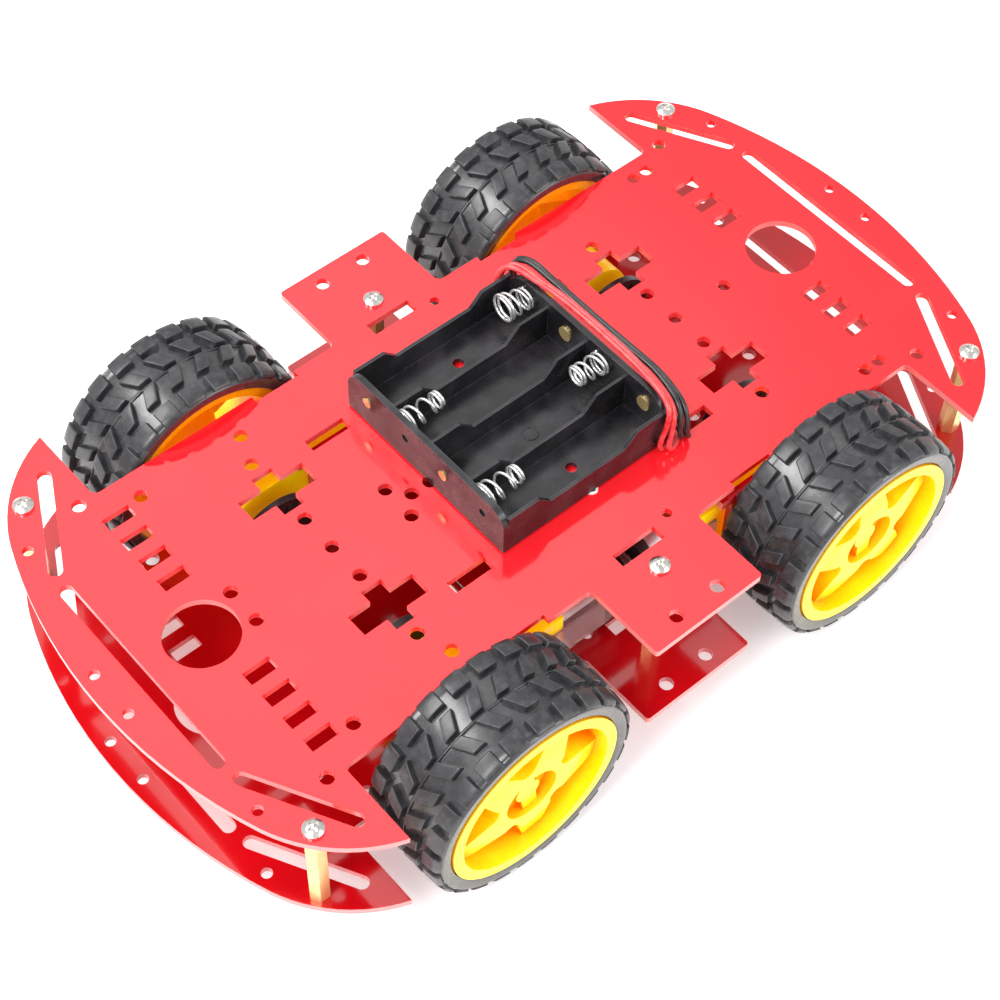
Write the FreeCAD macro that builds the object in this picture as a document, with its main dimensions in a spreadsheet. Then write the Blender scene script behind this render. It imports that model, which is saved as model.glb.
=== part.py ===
import FreeCAD, Part
import math
import os
import re
import Sketcher

"""Four wheel robot chassis: two acrylic decks on brass standoffs, four geared motors, four wheels.

Row frame: millimetres, +X towards the front bumper, +Y to the left, +Z up, origin on the floor
under the middle of the chassis.
"""

Vector = FreeCAD.Vector
Rotation = FreeCAD.Rotation

# ---------------------------------------------------------------- driving dimensions
DIMENSIONS = {
    # deck plates
    "plate_thickness": 2.0,
    "standoff_length": 30.0,
    "plate_half_length": 130.85,
    "bow_radius": 145.4,
    "bow_half_angle": 21.0,
    "bumper_corner_radius": 42.6,
    "bumper_inner_face": 96.3,
    "bumper_half_width": 76.2,
    "body_half_width": 51.6,
    "notch_start": 32.0,
    "notch_end": 46.0,
    "notch_half_width": 49.65,
    "tab_half_length": 18.1,
    "tab_half_width": 76.0,
    "plate_corner_radius": 1.0,
    "bumper_root_radius": 2.0,
    # deck holes and slots
    "screw_hole_radius": 1.65,
    "hole_radius": 1.95,
    "small_hole_radius": 1.5,
    "wire_hole_radius": 1.4,
    "cable_hole_radius": 10.0,
    "cable_hole_x": 100.0,
    "end_standoff_x": 112.0,
    "end_standoff_y": 60.1,
    "middle_standoff_y": 57.5,
    "tab_hole_x": 7.0,
    "tab_hole_y": 71.1,
    "tab_slot_length": 14.2,
    "tab_slot_width": 4.2,
    "tab_slot_y": 49.6,
    "wire_hole_x": 12.7,
    "wire_hole_y": 46.6,
    "bracket_slot_length": 12.4,
    "bracket_slot_width": 3.9,
    "bracket_slot_y": 28.95,
    "cross_y": 22.6,
    "cross_long_bar": 20.4,
    "cross_long_bar_width": 6.8,
    "cross_short_bar": 14.3,
    "cross_short_bar_width": 6.3,
    "axle_hole_y": 11.25,
    "outer_axle_hole_y": 33.8,
    "deck_slot_length": 8.0,
    "deck_slot_width": 4.1,
    "deck_slot_pitch": 8.0,
    "deck_slot_first_y": 17.7,
    "rear_slot_x": 95.4,
    "front_slot_x": 95.9,
    "rear_pair_x": 87.2,
    "rear_pair_outer_y": 43.7,
    "rear_pair_inner_y": 5.3,
    "rear_side_hole_x": 56.0,
    "rear_side_hole_y": 43.1,
    "centre_pair_x": 37.9,
    "centre_row_first_x": 27.5,
    "centre_row_pitch": 6.0,
    "front_hole_x": 77.9,
    "front_pair_x": 86.2,
    "front_pair_pitch": 5.0,
    "front_pair_y": 46.1,
    "shoulder_hole_x": 101.1,
    "shoulder_hole_y": 51.3,
    "bow_hole_x": 118.8,
    "bow_hole_y": 47.8,
    "nose_hole_x": 126.8,
    "nose_hole_y": 7.1,
    "bow_slot_radius": 1.9,
    "bow_slot_x": 118.3,
    "bow_slot_half_length": 31.5,
    "slant_slot_inner_x": 102.6,
    "slant_slot_inner_y": 64.7,
    "slant_slot_outer_x": 116.8,
    "slant_slot_outer_y": 38.5,
    # fasteners
    "standoff_across_flats": 5.0,
    "screw_radius": 1.45,
    "screw_length": 8.0,
    "screw_head_radius": 2.75,
    "screw_head_height": 1.9,
    "cross_recess_length": 3.0,
    "cross_recess_width": 0.65,
    "cross_recess_depth": 1.1,
    "bolt_length": 30.0,
    "nut_across_flats": 5.5,
    "nut_height": 1.8,
    # wheels
    "axle_x": 59.4,
    "tyre_radius": 32.5,
    "tyre_inner_y": 52.1,
    "tyre_width": 27.5,
    "rim_inner_y": 54.0,
    "rim_outer_y": 79.4,
    "tyre_seat_radius": 24.8,
    "tyre_bore_lip_radius": 26.4,
    "tyre_side_recess": 0.3,
    "seat_gap": 0.01,
    "tyre_crown_drop": 0.7,
    "tyre_shoulder_depth": 2.0,
    "rim_lip_width": 2.6,
    "spoke_drop": 2.2,
    "rim_wall": 1.6,
    "web_outer_y": 77.6,
    "web_inner_y": 69.0,
    "hub_radius": 11.5,
    "hub_pocket_radius": 8.0,
    "hub_pocket_depth": 3.6,
    "hub_boss_radius": 3.7,
    "hub_boss_sink": 1.5,
    "hub_sleeve_radius": 5.3,
    "hub_bar_half": 2.3,
    "press_gap": 0.02,
    "hub_inner_y": 56.0,
    "spoke_count": 5.0,
    "window_hub_half": 2.6,
    "window_inner_radius": 12.4,
    "window_hub_bend": 2.8,
    "window_outer_half": 10.9,
    # geared motor
    "gearbox_height": 22.5,
    "gearbox_width": 18.8,
    "gearbox_inner_y": 30.9,
    "gearbox_start": 25.8,
    "gearbox_wall": 1.25,
    "shaft_radius": 2.7,
    "shaft_flat": 1.85,
    "shaft_inner_y": 22.0,
    "shaft_outer_y": 62.0,
    "shaft_clearance": 0.05,
    "motor_bolt_from_axle": 21.2,
    "motor_bolt_spacing": 17.5,
    "motor_bolt_hole_radius": 1.55,
    "bolt_boss_radius": 2.45,
    "collar_start": 35.4,
    "collar_half_width": 8.4,
    "collar_half_height": 10.8,
    "can_radius": 10.0,
    "can_flat": 7.5,
    "can_wall": 0.7,
    "can_front": 28.9,
    "can_length": 22.0,
    "can_boss_radius": 3.0,
    "can_boss_length": 0.8,
    "end_cap_length": 3.0,
    "end_cap_boss_radius": 2.6,
    "end_cap_boss_length": 1.4,
    "terminal_width": 2.0,
    "terminal_thickness": 0.4,
    "terminal_length": 3.2,
    "terminal_offset": 6.2,
    "strap_height": 11.0,
    "strap_thickness": 0.8,
    "strap_gap": 0.1,
    "strap_end": 55.4,
    "strap_hook": 31.0,
    "lug_length": 1.4,
    "lug_height": 4.0,
    "lug_depth": 1.2,
    "shell_screw_from_axle": 6.8,
    "shell_screw_offset": 9.4,
    "shell_screw_radius": 0.8,
    "shell_screw_boss_radius": 1.7,
    "shell_screw_head_radius": 1.6,
    "shell_screw_head_height": 1.0,
    # gears
    "gear_module": 0.5,
    "final_teeth": 36.0,
    "second_pinion_teeth": 9.0,
    "second_teeth": 30.0,
    "crown_pinion_teeth": 10.0,
    "crown_teeth": 32.0,
    "motor_pinion_teeth": 8.0,
    "crown_module": 0.34,
    "gear_pin_radius": 0.75,
    "gear_bore_radius": 0.8,
    "pin_boss_radius": 1.6,
    "shaft_boss_radius": 4.0,
    "pin_inset": 0.4,
    "final_gear_start": 37.0,
    "final_gear_end": 41.0,
    "second_pinion_start": 36.5,
    "second_wheel_start": 43.9,
    "second_wheel_end": 46.1,
    "crown_disc_end": 43.3,
    "crown_pinion_end": 46.7,
    "crown_tooth_inner_radius": 4.7,
    "crown_tooth_outer_radius": 5.85,
    "gear_end_float": 0.1,
    # motor inside
    "motor_shaft_radius": 1.0,
    "pinion_start": 27.5,
    "pinion_length": 1.9,
    "rotor_radius": 6.4,
    "rotor_length": 11.0,
    "rotor_front": 32.5,
    "commutator_radius": 2.2,
    "commutator_length": 2.6,
    "magnet_inner_radius": 7.2,
    "magnet_half_width": 5.6,
    # brackets
    "bracket_stem_length": 12.0,
    "bracket_bar_length": 20.0,
    "bracket_bar_height": 3.0,
    "bracket_top_above_box": 1.6,
    # encoder disc
    "encoder_radius": 13.0,
    "encoder_inner_y": 23.5,
    "encoder_thickness": 2.0,
    "encoder_hub_radius": 4.5,
    "encoder_hub_end": 28.3,
    "encoder_slot_count": 20.0,
    "encoder_slot_inner": 8.2,
    "encoder_slot_outer": 11.6,
    "encoder_slot_width": 1.2,
    # battery holder
    "holder_length": 57.0,
    "holder_width": 62.4,
    "holder_height": 14.6,
    "holder_centre_x": 0.5,
    "holder_centre_y": 1.65,
    "holder_floor": 1.4,
    "holder_end_wall": 1.8,
    "holder_side_wall": 1.0,
    "holder_rear_corner": 5.5,
    "holder_front_corner": 8.0,
    "rib_thickness": 0.8,
    "bay_pitch": 15.3,
    "rib_low_height": 8.0,
    "rib_high_height": 12.6,
    "rib_end_length": 10.0,
    "side_cut_height": 8.5,
    "holder_hole_radius": 1.6,
    "holder_hole_y": 22.65,
    "holder_hole_x": 2.5,
    "tape_thickness": 0.6,
    "tape_length": 50.0,
    "tape_width": 19.0,
    "tape_spacing": 34.0,
    "cell_radius": 7.25,
    "spring_radius": 3.5,
    "spring_wire_radius": 0.4,
    "spring_length": 10.5,
    "spring_turns": 5.0,
    "rivet_radius": 2.2,
    "rivet_thickness": 0.6,
    "rivet_stem_radius": 1.2,
    "rivet_tail_radius": 1.5,
    "rivet_tail": 0.35,
    "wire_radius": 0.75,
    "wire_gap": 0.25,
    "wire_bend": 6.6,
    "red_lead_spread": 0.2,
    "red_lead_drop": 0.6,
    "black_lead_spread": 2.4,
    "black_lead_drop": 1.8,
}

document = FreeCAD.newDocument("robot_chassis")
sheet = document.addObject("Spreadsheet::Sheet", "Dims")
for row_number, (alias, value) in enumerate(DIMENSIONS.items(), start=1):
    sheet.set(f"A{row_number}", alias)
    sheet.set(f"B{row_number}", str(value))
    sheet.setAlias(f"B{row_number}", alias)
document.recompute()

# derived heights and places, as formulas of the driving dimensions
AXLE_Z = "tyre_radius"
DECK_Z = "(tyre_radius - gearbox_height / 2)"
LOWER_Z = f"({DECK_Z} - plate_thickness)"
UPPER_Z = f"({DECK_Z} + standoff_length)"
UPPER_TOP = f"({UPPER_Z} + plate_thickness)"
BOX_MID_Y = "(gearbox_inner_y + gearbox_width / 2)"
BOX_OUTER_Y = "(gearbox_inner_y + gearbox_width)"
TYRE_OUTER_Y = "(tyre_inner_y + tyre_width)"
BOLT_X = "(axle_x - motor_bolt_from_axle)"
SECOND_X = "gear_module * (final_teeth + second_pinion_teeth) / 2"
CROWN_X = f"({SECOND_X} + gear_module * (second_teeth + crown_pinion_teeth) / 2)"
HOLDER_Z = f"({UPPER_TOP} + tape_thickness)"


def bound(text):
    """The formula with every dimension name pointing at the spreadsheet."""
    return re.sub(r"[a-z][a-z_]+", lambda word: swap(word.group()), str(text))


def swap(word):
    return f"Dims.{word}" if word in DIMENSIONS else word


def size(text):
    """The present value of a formula."""
    return float(sheet.evalExpression(bound(text)))


def drive(item, **formulas):
    """Binds properties to formulas; x, y and z stand for the place."""
    for name, formula in formulas.items():
        path = f".Placement.Base.{name}" if name in "xyz" else name
        item.setExpression(path, bound(formula))
    return item


# ---------------------------------------------------------------- primitive solids
TURNED = {
    "z": Rotation(),
    "x": Rotation(Vector(0, 1, 0), 90),
    "y": Rotation(Vector(1, 0, 0), -90),
}


def part(kind, label, **properties):
    item = document.addObject(f"Part::{kind}", label)
    for name, setting in properties.items():
        setattr(item, name, setting)
    return item


def box(label, low, high):
    """A box between two corners, each given as three formulas."""
    item = part("Box", label)
    drive(item, x=low[0], y=low[1], z=low[2])
    spans = [f"({b}) - ({a})" for a, b in zip(low, high)]
    return drive(item, Length=spans[0], Width=spans[1], Height=spans[2])


def rod(label, radius, start, length, along="z"):
    """A cylinder that starts at a point and runs along an axis."""
    item = part("Cylinder", label, Placement=FreeCAD.Placement(Vector(), TURNED[along]))
    drive(item, x=start[0], y=start[1], z=start[2])
    return drive(item, Radius=radius, Height=length)


def cut(label, base, *tools):
    tool = tools[0] if len(tools) == 1 else fuse(f"{label}_tools", *tools)
    return part("Cut", label, Base=base, Tool=tool)


def fuse(label, *shapes):
    return part("MultiFuse", label, Shapes=list(shapes))


def common(label, first, second):
    return part("MultiCommon", label, Shapes=[first, second])


def group(label, pieces):
    return part("Compound", label, Links=list(pieces))


# ---------------------------------------------------------------- sketches and bodies
def new_body(label, x="0", y="0", z="0"):
    body = document.addObject("PartDesign::Body", label)
    return drive(body, x=x, y=y, z=z)


def new_sketch(body, plane, name, offset=None):
    sketch = body.newObject("Sketcher::SketchObject", name)
    origin_plane = [item for item in body.Origin.OriginFeatures if item.Role == plane]
    sketch.AttachmentSupport = [(origin_plane[0], "")]
    sketch.MapMode = "FlatFace"
    if offset is not None:
        sketch.setExpression("AttachmentOffset.Base.z", bound(offset))
    return sketch


def pin_point(sketch, geometry, point, x, y, name):
    """Ties one point of a sketch to two formulas."""
    for kind, formula, mark in (("DistanceX", x, "x"), ("DistanceY", y, "y")):
        rule = Sketcher.Constraint(kind, -1, 1, geometry, point, size(formula))
        index = sketch.addConstraint(rule)
        sketch.renameConstraint(index, f"{name}_{mark}")
        sketch.setExpression(f"Constraints.{name}_{mark}", bound(formula))


def pin_radius(sketch, geometry, radius, name):
    index = sketch.addConstraint(Sketcher.Constraint("Radius", geometry, size(radius)))
    sketch.renameConstraint(index, f"{name}_radius")
    sketch.setExpression(f"Constraints.{name}_radius", bound(radius))


def circle(sketch, x, y, radius, name):
    centre = Vector(size(x), size(y), 0)
    index = sketch.addGeometry(Part.Circle(centre, Vector(0, 0, 1), size(radius)))
    pin_point(sketch, index, 3, x, y, name)
    pin_radius(sketch, index, radius, name)


def arc_between(first, last, radius):
    """The arc of a signed radius between two points: positive bulges to the right of travel."""
    half = (last - first) * 0.5
    middle = first + half
    reach = math.sqrt(max(radius * radius - half.Length ** 2, 0.0))
    side = Vector(-half.y, half.x, 0).normalize()
    centre = middle + side * (reach if radius > 0 else -reach)
    ends = (first, last) if radius > 0 else (last, first)
    angles = [math.atan2(end.y - centre.y, end.x - centre.x) for end in ends]
    if angles[1] < angles[0]:
        angles[1] += 2 * math.pi
    ring = Part.Circle(centre, Vector(0, 0, 1), abs(radius))
    return Part.ArcOfCircle(ring, angles[0], angles[1])


def outline(sketch, corners, name):
    """A closed profile. A corner is (x, y) or (x, y, radius of the arc that leaves it)."""
    places = [Vector(size(corner[0]), size(corner[1]), 0) for corner in corners]
    ends = []
    for number, corner in enumerate(corners):
        start = places[number]
        finish = places[(number + 1) % len(corners)]
        if len(corner) == 3:
            index = sketch.addGeometry(arc_between(start, finish, size(corner[2])))
            forwards = size(corner[2]) > 0
            ends.append((index, 1, 2) if forwards else (index, 2, 1))
            pin_radius(sketch, index, str(corner[2]).lstrip("-"), f"{name}{number}")
        else:
            index = sketch.addGeometry(Part.LineSegment(start, finish))
            ends.append((index, 1, 2))
    for number, (index, first, last) in enumerate(ends):
        following = ends[(number + 1) % len(ends)]
        sketch.addConstraint(Sketcher.Constraint("Coincident", index, last, following[0], following[1]))
        pin_point(sketch, index, first, corners[number][0], corners[number][1], f"{name}{number}")


def rectangle(sketch, x, y, length, width, name):
    corners = []
    for side_x, side_y in ((-1, -1), (1, -1), (1, 1), (-1, 1)):
        corners.append((f"{x} + {side_x} * {length} / 2", f"{y} + {side_y} * {width} / 2"))
    outline(sketch, corners, name)


def pad(body, sketch, length, name="pad"):
    feature = body.newObject("PartDesign::Pad", name)
    feature.Profile = sketch
    drive(feature, Length=length)
    return feature


def pocket_through(body, sketch, name):
    """Cuts right through the material above the sketch's plane."""
    feature = body.newObject("PartDesign::Pocket", name)
    feature.Profile = sketch
    feature.Type = "ThroughAll"
    feature.Reversed = True
    return feature


def revolve(body, sketch, name="turned"):
    """Turns the profile about the sketch's vertical axis."""
    feature = body.newObject("PartDesign::Revolution", name)
    feature.Profile = sketch
    feature.ReferenceAxis = (sketch, ["V_Axis"])
    feature.Angle = 360
    return feature


def both():
    """Every combination of the two signs."""
    return [(sx, sy) for sx in (1, -1) for sy in (1, -1)]


# ---------------------------------------------------------------- copies at the four corners
CORNERS = {
    "fl": Rotation(),
    "fr": Rotation(Vector(1, 0, 0), 180),
    "rl": Rotation(Vector(0, 1, 0), 180),
    "rr": Rotation(Vector(0, 0, 1), 180),
}


def corner_place(turn):
    """Half a turn about a line through the middle of the chassis at axle height."""
    pivot = Vector(0, 0, size(AXLE_Z))
    return FreeCAD.Placement(pivot - turn.multVec(pivot), turn)


def corner_link(master, label, corner):
    link = document.addObject("App::Link", label)
    link.LinkedObject = master
    link.LinkTransform = True
    link.Placement = corner_place(CORNERS[corner])
    return link


def at_corners(master, label):
    """One node that holds the master's piece at all four corners."""
    links = [corner_link(master, f"{label}_{corner}", corner) for corner in CORNERS]
    return group(label, links)


def node_per_corner(master, label):
    """A separate node for the master's piece at each corner."""
    return [corner_link(master, f"{label}_{corner}", corner) for corner in CORNERS]


# ---------------------------------------------------------------- deck plates
def plate_corners():
    """The outline, anticlockwise from the front of the bow, from one quarter of it."""
    arc_x = "(plate_half_length - bow_radius + bow_radius * cos(bow_half_angle * 1deg))"
    arc_y = "(bow_radius * sin(bow_half_angle * 1deg))"
    quarter = [
        (arc_x, arc_y, "bumper_corner_radius"),
        ("bumper_inner_face", "bumper_half_width", None),
        ("bumper_inner_face", "body_half_width", None),
        ("notch_end", "body_half_width", None),
        ("notch_end", "notch_half_width", None),
        ("notch_start", "notch_half_width", None),
        ("notch_start", "body_half_width", None),
        ("tab_half_length", "body_half_width", None),
        ("tab_half_length", "tab_half_width", None),
    ]
    mirrored = [(x, y) for x, y, _ in reversed(quarter)]
    front_left = [(x, y, r) if r else (x, y) for x, y, r in quarter]
    rear_left = [(f"-{x}", y) for x, y in mirrored[:-1]]
    rear_left[-1] = rear_left[-1] + ("bumper_corner_radius",)
    rear_left.append((f"-{arc_x}", arc_y, "bow_radius"))
    left = front_left + rear_left
    right = []
    for corner in left:
        right.append((f"-{corner[0]}".replace("--", ""), f"-{corner[1]}") + corner[2:])
    return left + right


def round_holes(sketch):
    every = both()
    circles = []
    for sx, sy in every:
        circles += [
            (sx, "end_standoff_x", sy, "end_standoff_y", "screw_hole_radius"),
            (sx, "tab_hole_x", sy, "tab_hole_y", "hole_radius"),
            (sx, "axle_x", sy, "axle_hole_y", "hole_radius"),
            (sx, "axle_x", sy, "outer_axle_hole_y", "hole_radius"),
            (sx, "shoulder_hole_x", sy, "shoulder_hole_y", "hole_radius"),
            (sx, "bow_hole_x", sy, "bow_hole_y", "small_hole_radius"),
            (sx, "nose_hole_x", sy, "nose_hole_y", "small_hole_radius"),
        ]
    for sx in (1, -1):
        circles += [
            (sx, "cable_hole_x", 0, "axle_hole_y", "cable_hole_radius"),
            (sx, "axle_x", 0, "axle_hole_y", "hole_radius"),
            (0, "axle_x", sx, "middle_standoff_y", "screw_hole_radius"),
            (1, "wire_hole_x", sx, "wire_hole_y", "wire_hole_radius"),
            (1, "front_pair_x", sx, "front_pair_y", "hole_radius"),
            (1, "(front_pair_x + front_pair_pitch)", sx, "front_pair_y", "hole_radius"),
            (-1, "rear_pair_x", sx, "rear_pair_outer_y", "hole_radius"),
            (-1, "rear_pair_x", sx, "rear_pair_inner_y", "hole_radius"),
            (-1, "rear_side_hole_x", sx, "rear_side_hole_y", "hole_radius"),
            (-1, "centre_pair_x", sx, "rear_pair_inner_y", "hole_radius"),
        ]
    circles += [
        (1, "front_hole_x", 0, "axle_hole_y", "hole_radius"),
        (-1, "centre_row_first_x", 0, "axle_hole_y", "hole_radius"),
        (-1, "(centre_row_first_x + centre_row_pitch)", 0, "axle_hole_y", "hole_radius"),
    ]
    for number, (sx, x, sy, y, radius) in enumerate(circles):
        circle(sketch, f"{sx} * {x}", f"{sy} * {y}", radius, f"hole{number}")


def straight_slots(sketch):
    for number, (sx, sy) in enumerate(both()):
        rectangle(sketch, f"{sx} * {BOLT_X}", f"{sy} * bracket_slot_y",
                  "bracket_slot_length", "bracket_slot_width", f"bracket{number}q")
        end_x, count = ("front_slot_x", 3) if sx > 0 else ("rear_slot_x", 4)
        for step in range(count):
            y = f"{sy} * (deck_slot_first_y + {step} * deck_slot_pitch)"
            rectangle(sketch, f"{sx} * {end_x}", y,
                      "deck_slot_length", "deck_slot_width", f"deck{number}q{step}q")
    for number, sy in enumerate((1, -1)):
        rectangle(sketch, "0", f"{sy} * tab_slot_y", "tab_slot_length", "tab_slot_width", f"tab{number}q")


def crosses(sketch):
    """Plus-shaped openings that the encoder discs dip into, each as one outline."""
    arm_x = ["cross_long_bar / 2", "cross_short_bar_width / 2"]
    arm_y = ["cross_long_bar_width / 2", "cross_short_bar / 2"]
    turns = [(1, 0, 1, 0), (1, 1, 1, 0), (1, 1, 1, 1), (-1, 1, 1, 1), (-1, 1, 1, 0), (-1, 0, 1, 0)]
    turns += [(-1, 0, -1, 0), (-1, 1, -1, 0), (-1, 1, -1, 1), (1, 1, -1, 1), (1, 1, -1, 0), (1, 0, -1, 0)]
    for number, (sx, sy) in enumerate(both()):
        corners = []
        for side_x, pick_x, side_y, pick_y in turns:
            corners.append((f"{sx} * axle_x + {side_x} * {arm_x[pick_x]}",
                            f"{sy} * cross_y + {side_y} * {arm_y[pick_y]}"))
        outline(sketch, corners, f"cross{number}q")


def rounded_slot(sketch, first, last, radius, name):
    """A slot with round ends between two centres, held by tangent ends and equal radii."""
    centres = [Vector(size(place[0]), size(place[1]), 0) for place in (first, last)]
    reach = size(radius)
    run = (centres[1] - centres[0]).normalize()
    side = Vector(-run.y, run.x, 0) * reach
    heading = math.atan2(run.y, run.x)
    arcs = []
    for centre, turn in ((centres[0], math.pi / 2), (centres[1], -math.pi / 2)):
        ring = Part.Circle(centre, Vector(0, 0, 1), reach)
        arcs.append(sketch.addGeometry(Part.ArcOfCircle(ring, heading + turn, heading + turn + math.pi)))
    lower = sketch.addGeometry(Part.LineSegment(centres[0] - side, centres[1] - side))
    upper = sketch.addGeometry(Part.LineSegment(centres[1] + side, centres[0] + side))
    joins = [(arcs[0], 2, lower, 1), (lower, 2, arcs[1], 1), (arcs[1], 2, upper, 1), (upper, 2, arcs[0], 1)]
    for join in joins:
        sketch.addConstraint(Sketcher.Constraint("Tangent", *join))
    sketch.addConstraint(Sketcher.Constraint("Equal", arcs[0], arcs[1]))
    pin_point(sketch, arcs[0], 3, first[0], first[1], f"{name}a")
    pin_point(sketch, arcs[1], 3, last[0], last[1], f"{name}b")
    pin_radius(sketch, arcs[0], radius, name)


def bumper_slots(sketch):
    for number, sx in enumerate((1, -1)):
        x = f"{sx} * bow_slot_x"
        rounded_slot(sketch, (x, "-bow_slot_half_length"), (x, "bow_slot_half_length"),
                     "bow_slot_radius", f"bow{number}q")
    for number, (sx, sy) in enumerate(both()):
        inner = (f"{sx} * slant_slot_inner_x", f"{sy} * slant_slot_inner_y")
        outer = (f"{sx} * slant_slot_outer_x", f"{sy} * slant_slot_outer_y")
        rounded_slot(sketch, inner, outer, "bow_slot_radius", f"slant{number}q")


def upright_edges(shape, wanted):
    """Names of the vertical edges whose place passes a test of |x| and |y|."""
    names = []
    for number, edge in enumerate(shape.Edges, start=1):
        ends = edge.BoundBox
        if ends.XLength < 0.01 and ends.YLength < 0.01 and wanted(abs(ends.XMin), abs(ends.YMin)):
            names.append(f"Edge{number}")
    return names


def near(value, formula):
    return abs(value - size(formula)) < 0.01


def round_upright(body, base, radius, name, wanted):
    document.recompute()
    feature = body.newObject("PartDesign::Fillet", name)
    feature.Base = (base, upright_edges(base.Shape, wanted))
    drive(feature, Radius=radius)
    return feature


def deck_plate():
    body = new_body("top_plate", z=UPPER_Z)
    sketch = new_sketch(body, "XY_Plane", "plate_outline")
    outline(sketch, plate_corners(), "edge")
    blank = pad(body, sketch, "plate_thickness", "plate_blank")

    def tab_corner(x, y):
        return near(x, "tab_half_length") and near(y, "tab_half_width")

    def root_corner(x, y):
        at_bumper = near(x, "bumper_inner_face") and near(y, "body_half_width")
        return at_bumper or (near(x, "tab_half_length") and near(y, "body_half_width"))

    tabs = round_upright(body, blank, "plate_corner_radius", "tab_corners", tab_corner)
    round_upright(body, tabs, "bumper_root_radius", "bumper_roots", root_corner)
    families = {"round_holes": round_holes, "straight_slots": straight_slots,
                "crosses": crosses, "bumper_slots": bumper_slots}
    for name, draw in families.items():
        holes = new_sketch(body, "XY_Plane", f"{name}_sketch")
        draw(holes)
        pocket_through(body, holes, name)
    lower = document.addObject("App::Link", "bottom_plate")
    lower.LinkedObject = body
    lower.LinkTransform = False
    lower.Placement = FreeCAD.Placement(Vector(0, 0, size(LOWER_Z)), CORNERS["rr"])
    return [body, lower]


# ---------------------------------------------------------------- fasteners
def standoff_places():
    places = [(f"{sx} * end_standoff_x", f"{sy} * end_standoff_y") for sx, sy in both()]
    return places + [("0", f"{sy} * middle_standoff_y") for sy in (1, -1)]


def standoffs():
    pieces = []
    for number, (x, y) in enumerate(standoff_places()):
        post = part("Prism", f"standoff_blank{number}", Polygon=6)
        drive(post, x=x, y=y, z=DECK_Z)
        drive(post, Circumradius="standoff_across_flats / sqrt(3)", Height="standoff_length")
        bore = rod(f"standoff_bore{number}", "screw_radius + 0.05", (x, y, DECK_Z), "standoff_length")
        pieces.append(cut(f"standoff{number}", post, bore))
    return group("standoffs", pieces)


def pan_screw(label, length):
    """A pan-head screw with a cross recess, head up, under-head face at the local origin."""
    body = new_body(label)
    profile = new_sketch(body, "XZ_Plane", f"{label}_profile")
    outline(profile, [
        ("0", f"-{length}"),
        ("screw_radius", f"-{length}"),
        ("screw_radius", "0"),
        ("screw_head_radius", "0"),
        ("screw_head_radius", "screw_head_height * 0.45", "screw_head_radius * 1.5"),
        ("0", "screw_head_height"),
    ], "screw")
    revolve(body, profile)
    recess = new_sketch(body, "XY_Plane", f"{label}_recess", "screw_head_height - cross_recess_depth")
    half = "cross_recess_length / 2"
    arm = "cross_recess_width / 2"
    points = [(half, f"-{arm}"), (half, arm), (arm, arm), (arm, half), (f"-{arm}", half), (f"-{arm}", arm)]
    points += [(f"-{half}", arm), (f"-{half}", f"-{arm}"), (f"-{arm}", f"-{arm}")]
    points += [(f"-{arm}", f"-{half}"), (arm, f"-{half}"), (arm, f"-{arm}")]
    outline(recess, points, "recess")
    pocket_through(body, recess, f"{label}_cross")
    return body


def placed(master, label, x, y, z, turn=Rotation()):
    link = document.addObject("App::Link", label)
    link.LinkedObject = master
    link.LinkTransform = False
    link.Placement = FreeCAD.Placement(Vector(size(x), size(y), size(z)), turn)
    return link


def deck_screws():
    master = pan_screw("deck_screw", "screw_length")
    upside_down = Rotation(Vector(1, 0, 0), 180)
    rows = {"top_screws": (UPPER_TOP, Rotation()), "bottom_screws": (LOWER_Z, upside_down)}
    nodes = []
    for label, (z, turn) in rows.items():
        links = []
        for number, (x, y) in enumerate(standoff_places()):
            links.append(placed(master, f"{label}{number}", x, y, z, turn))
        nodes.append(group(label, links))
    return nodes


def motor_bolts():
    """Two long bolts clamp each motor between its brackets, heads on the wheel side."""
    bolt = pan_screw("motor_bolt", "bolt_length")
    outward = Rotation(Vector(1, 0, 0), -90)
    bolts = []
    nuts = []
    nut_end = "(gearbox_inner_y - plate_thickness)"
    for number, side in enumerate((1, -1)):
        z = f"({AXLE_Z} + {side} * motor_bolt_spacing / 2)"
        head_y = f"({BOX_OUTER_Y} + plate_thickness)"
        bolts.append(placed(bolt, f"bolt{number}", BOLT_X, head_y, z, outward))
        blank = part("Prism", f"nut_blank{number}", Polygon=6,
                     Placement=FreeCAD.Placement(Vector(), TURNED["y"]))
        drive(blank, x=BOLT_X, y=f"{nut_end} - nut_height", z=z)
        drive(blank, Circumradius="nut_across_flats / sqrt(3)", Height="nut_height")
        bore = rod(f"nut_bore{number}", "screw_radius + 0.05",
                   (BOLT_X, f"{nut_end} - nut_height", z), "nut_height", "y")
        nuts.append(cut(f"nut{number}", blank, bore))
    return [at_corners(group("corner_bolts", bolts), "motor_bolts"),
            at_corners(group("corner_nuts", nuts), "motor_nuts")]


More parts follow.
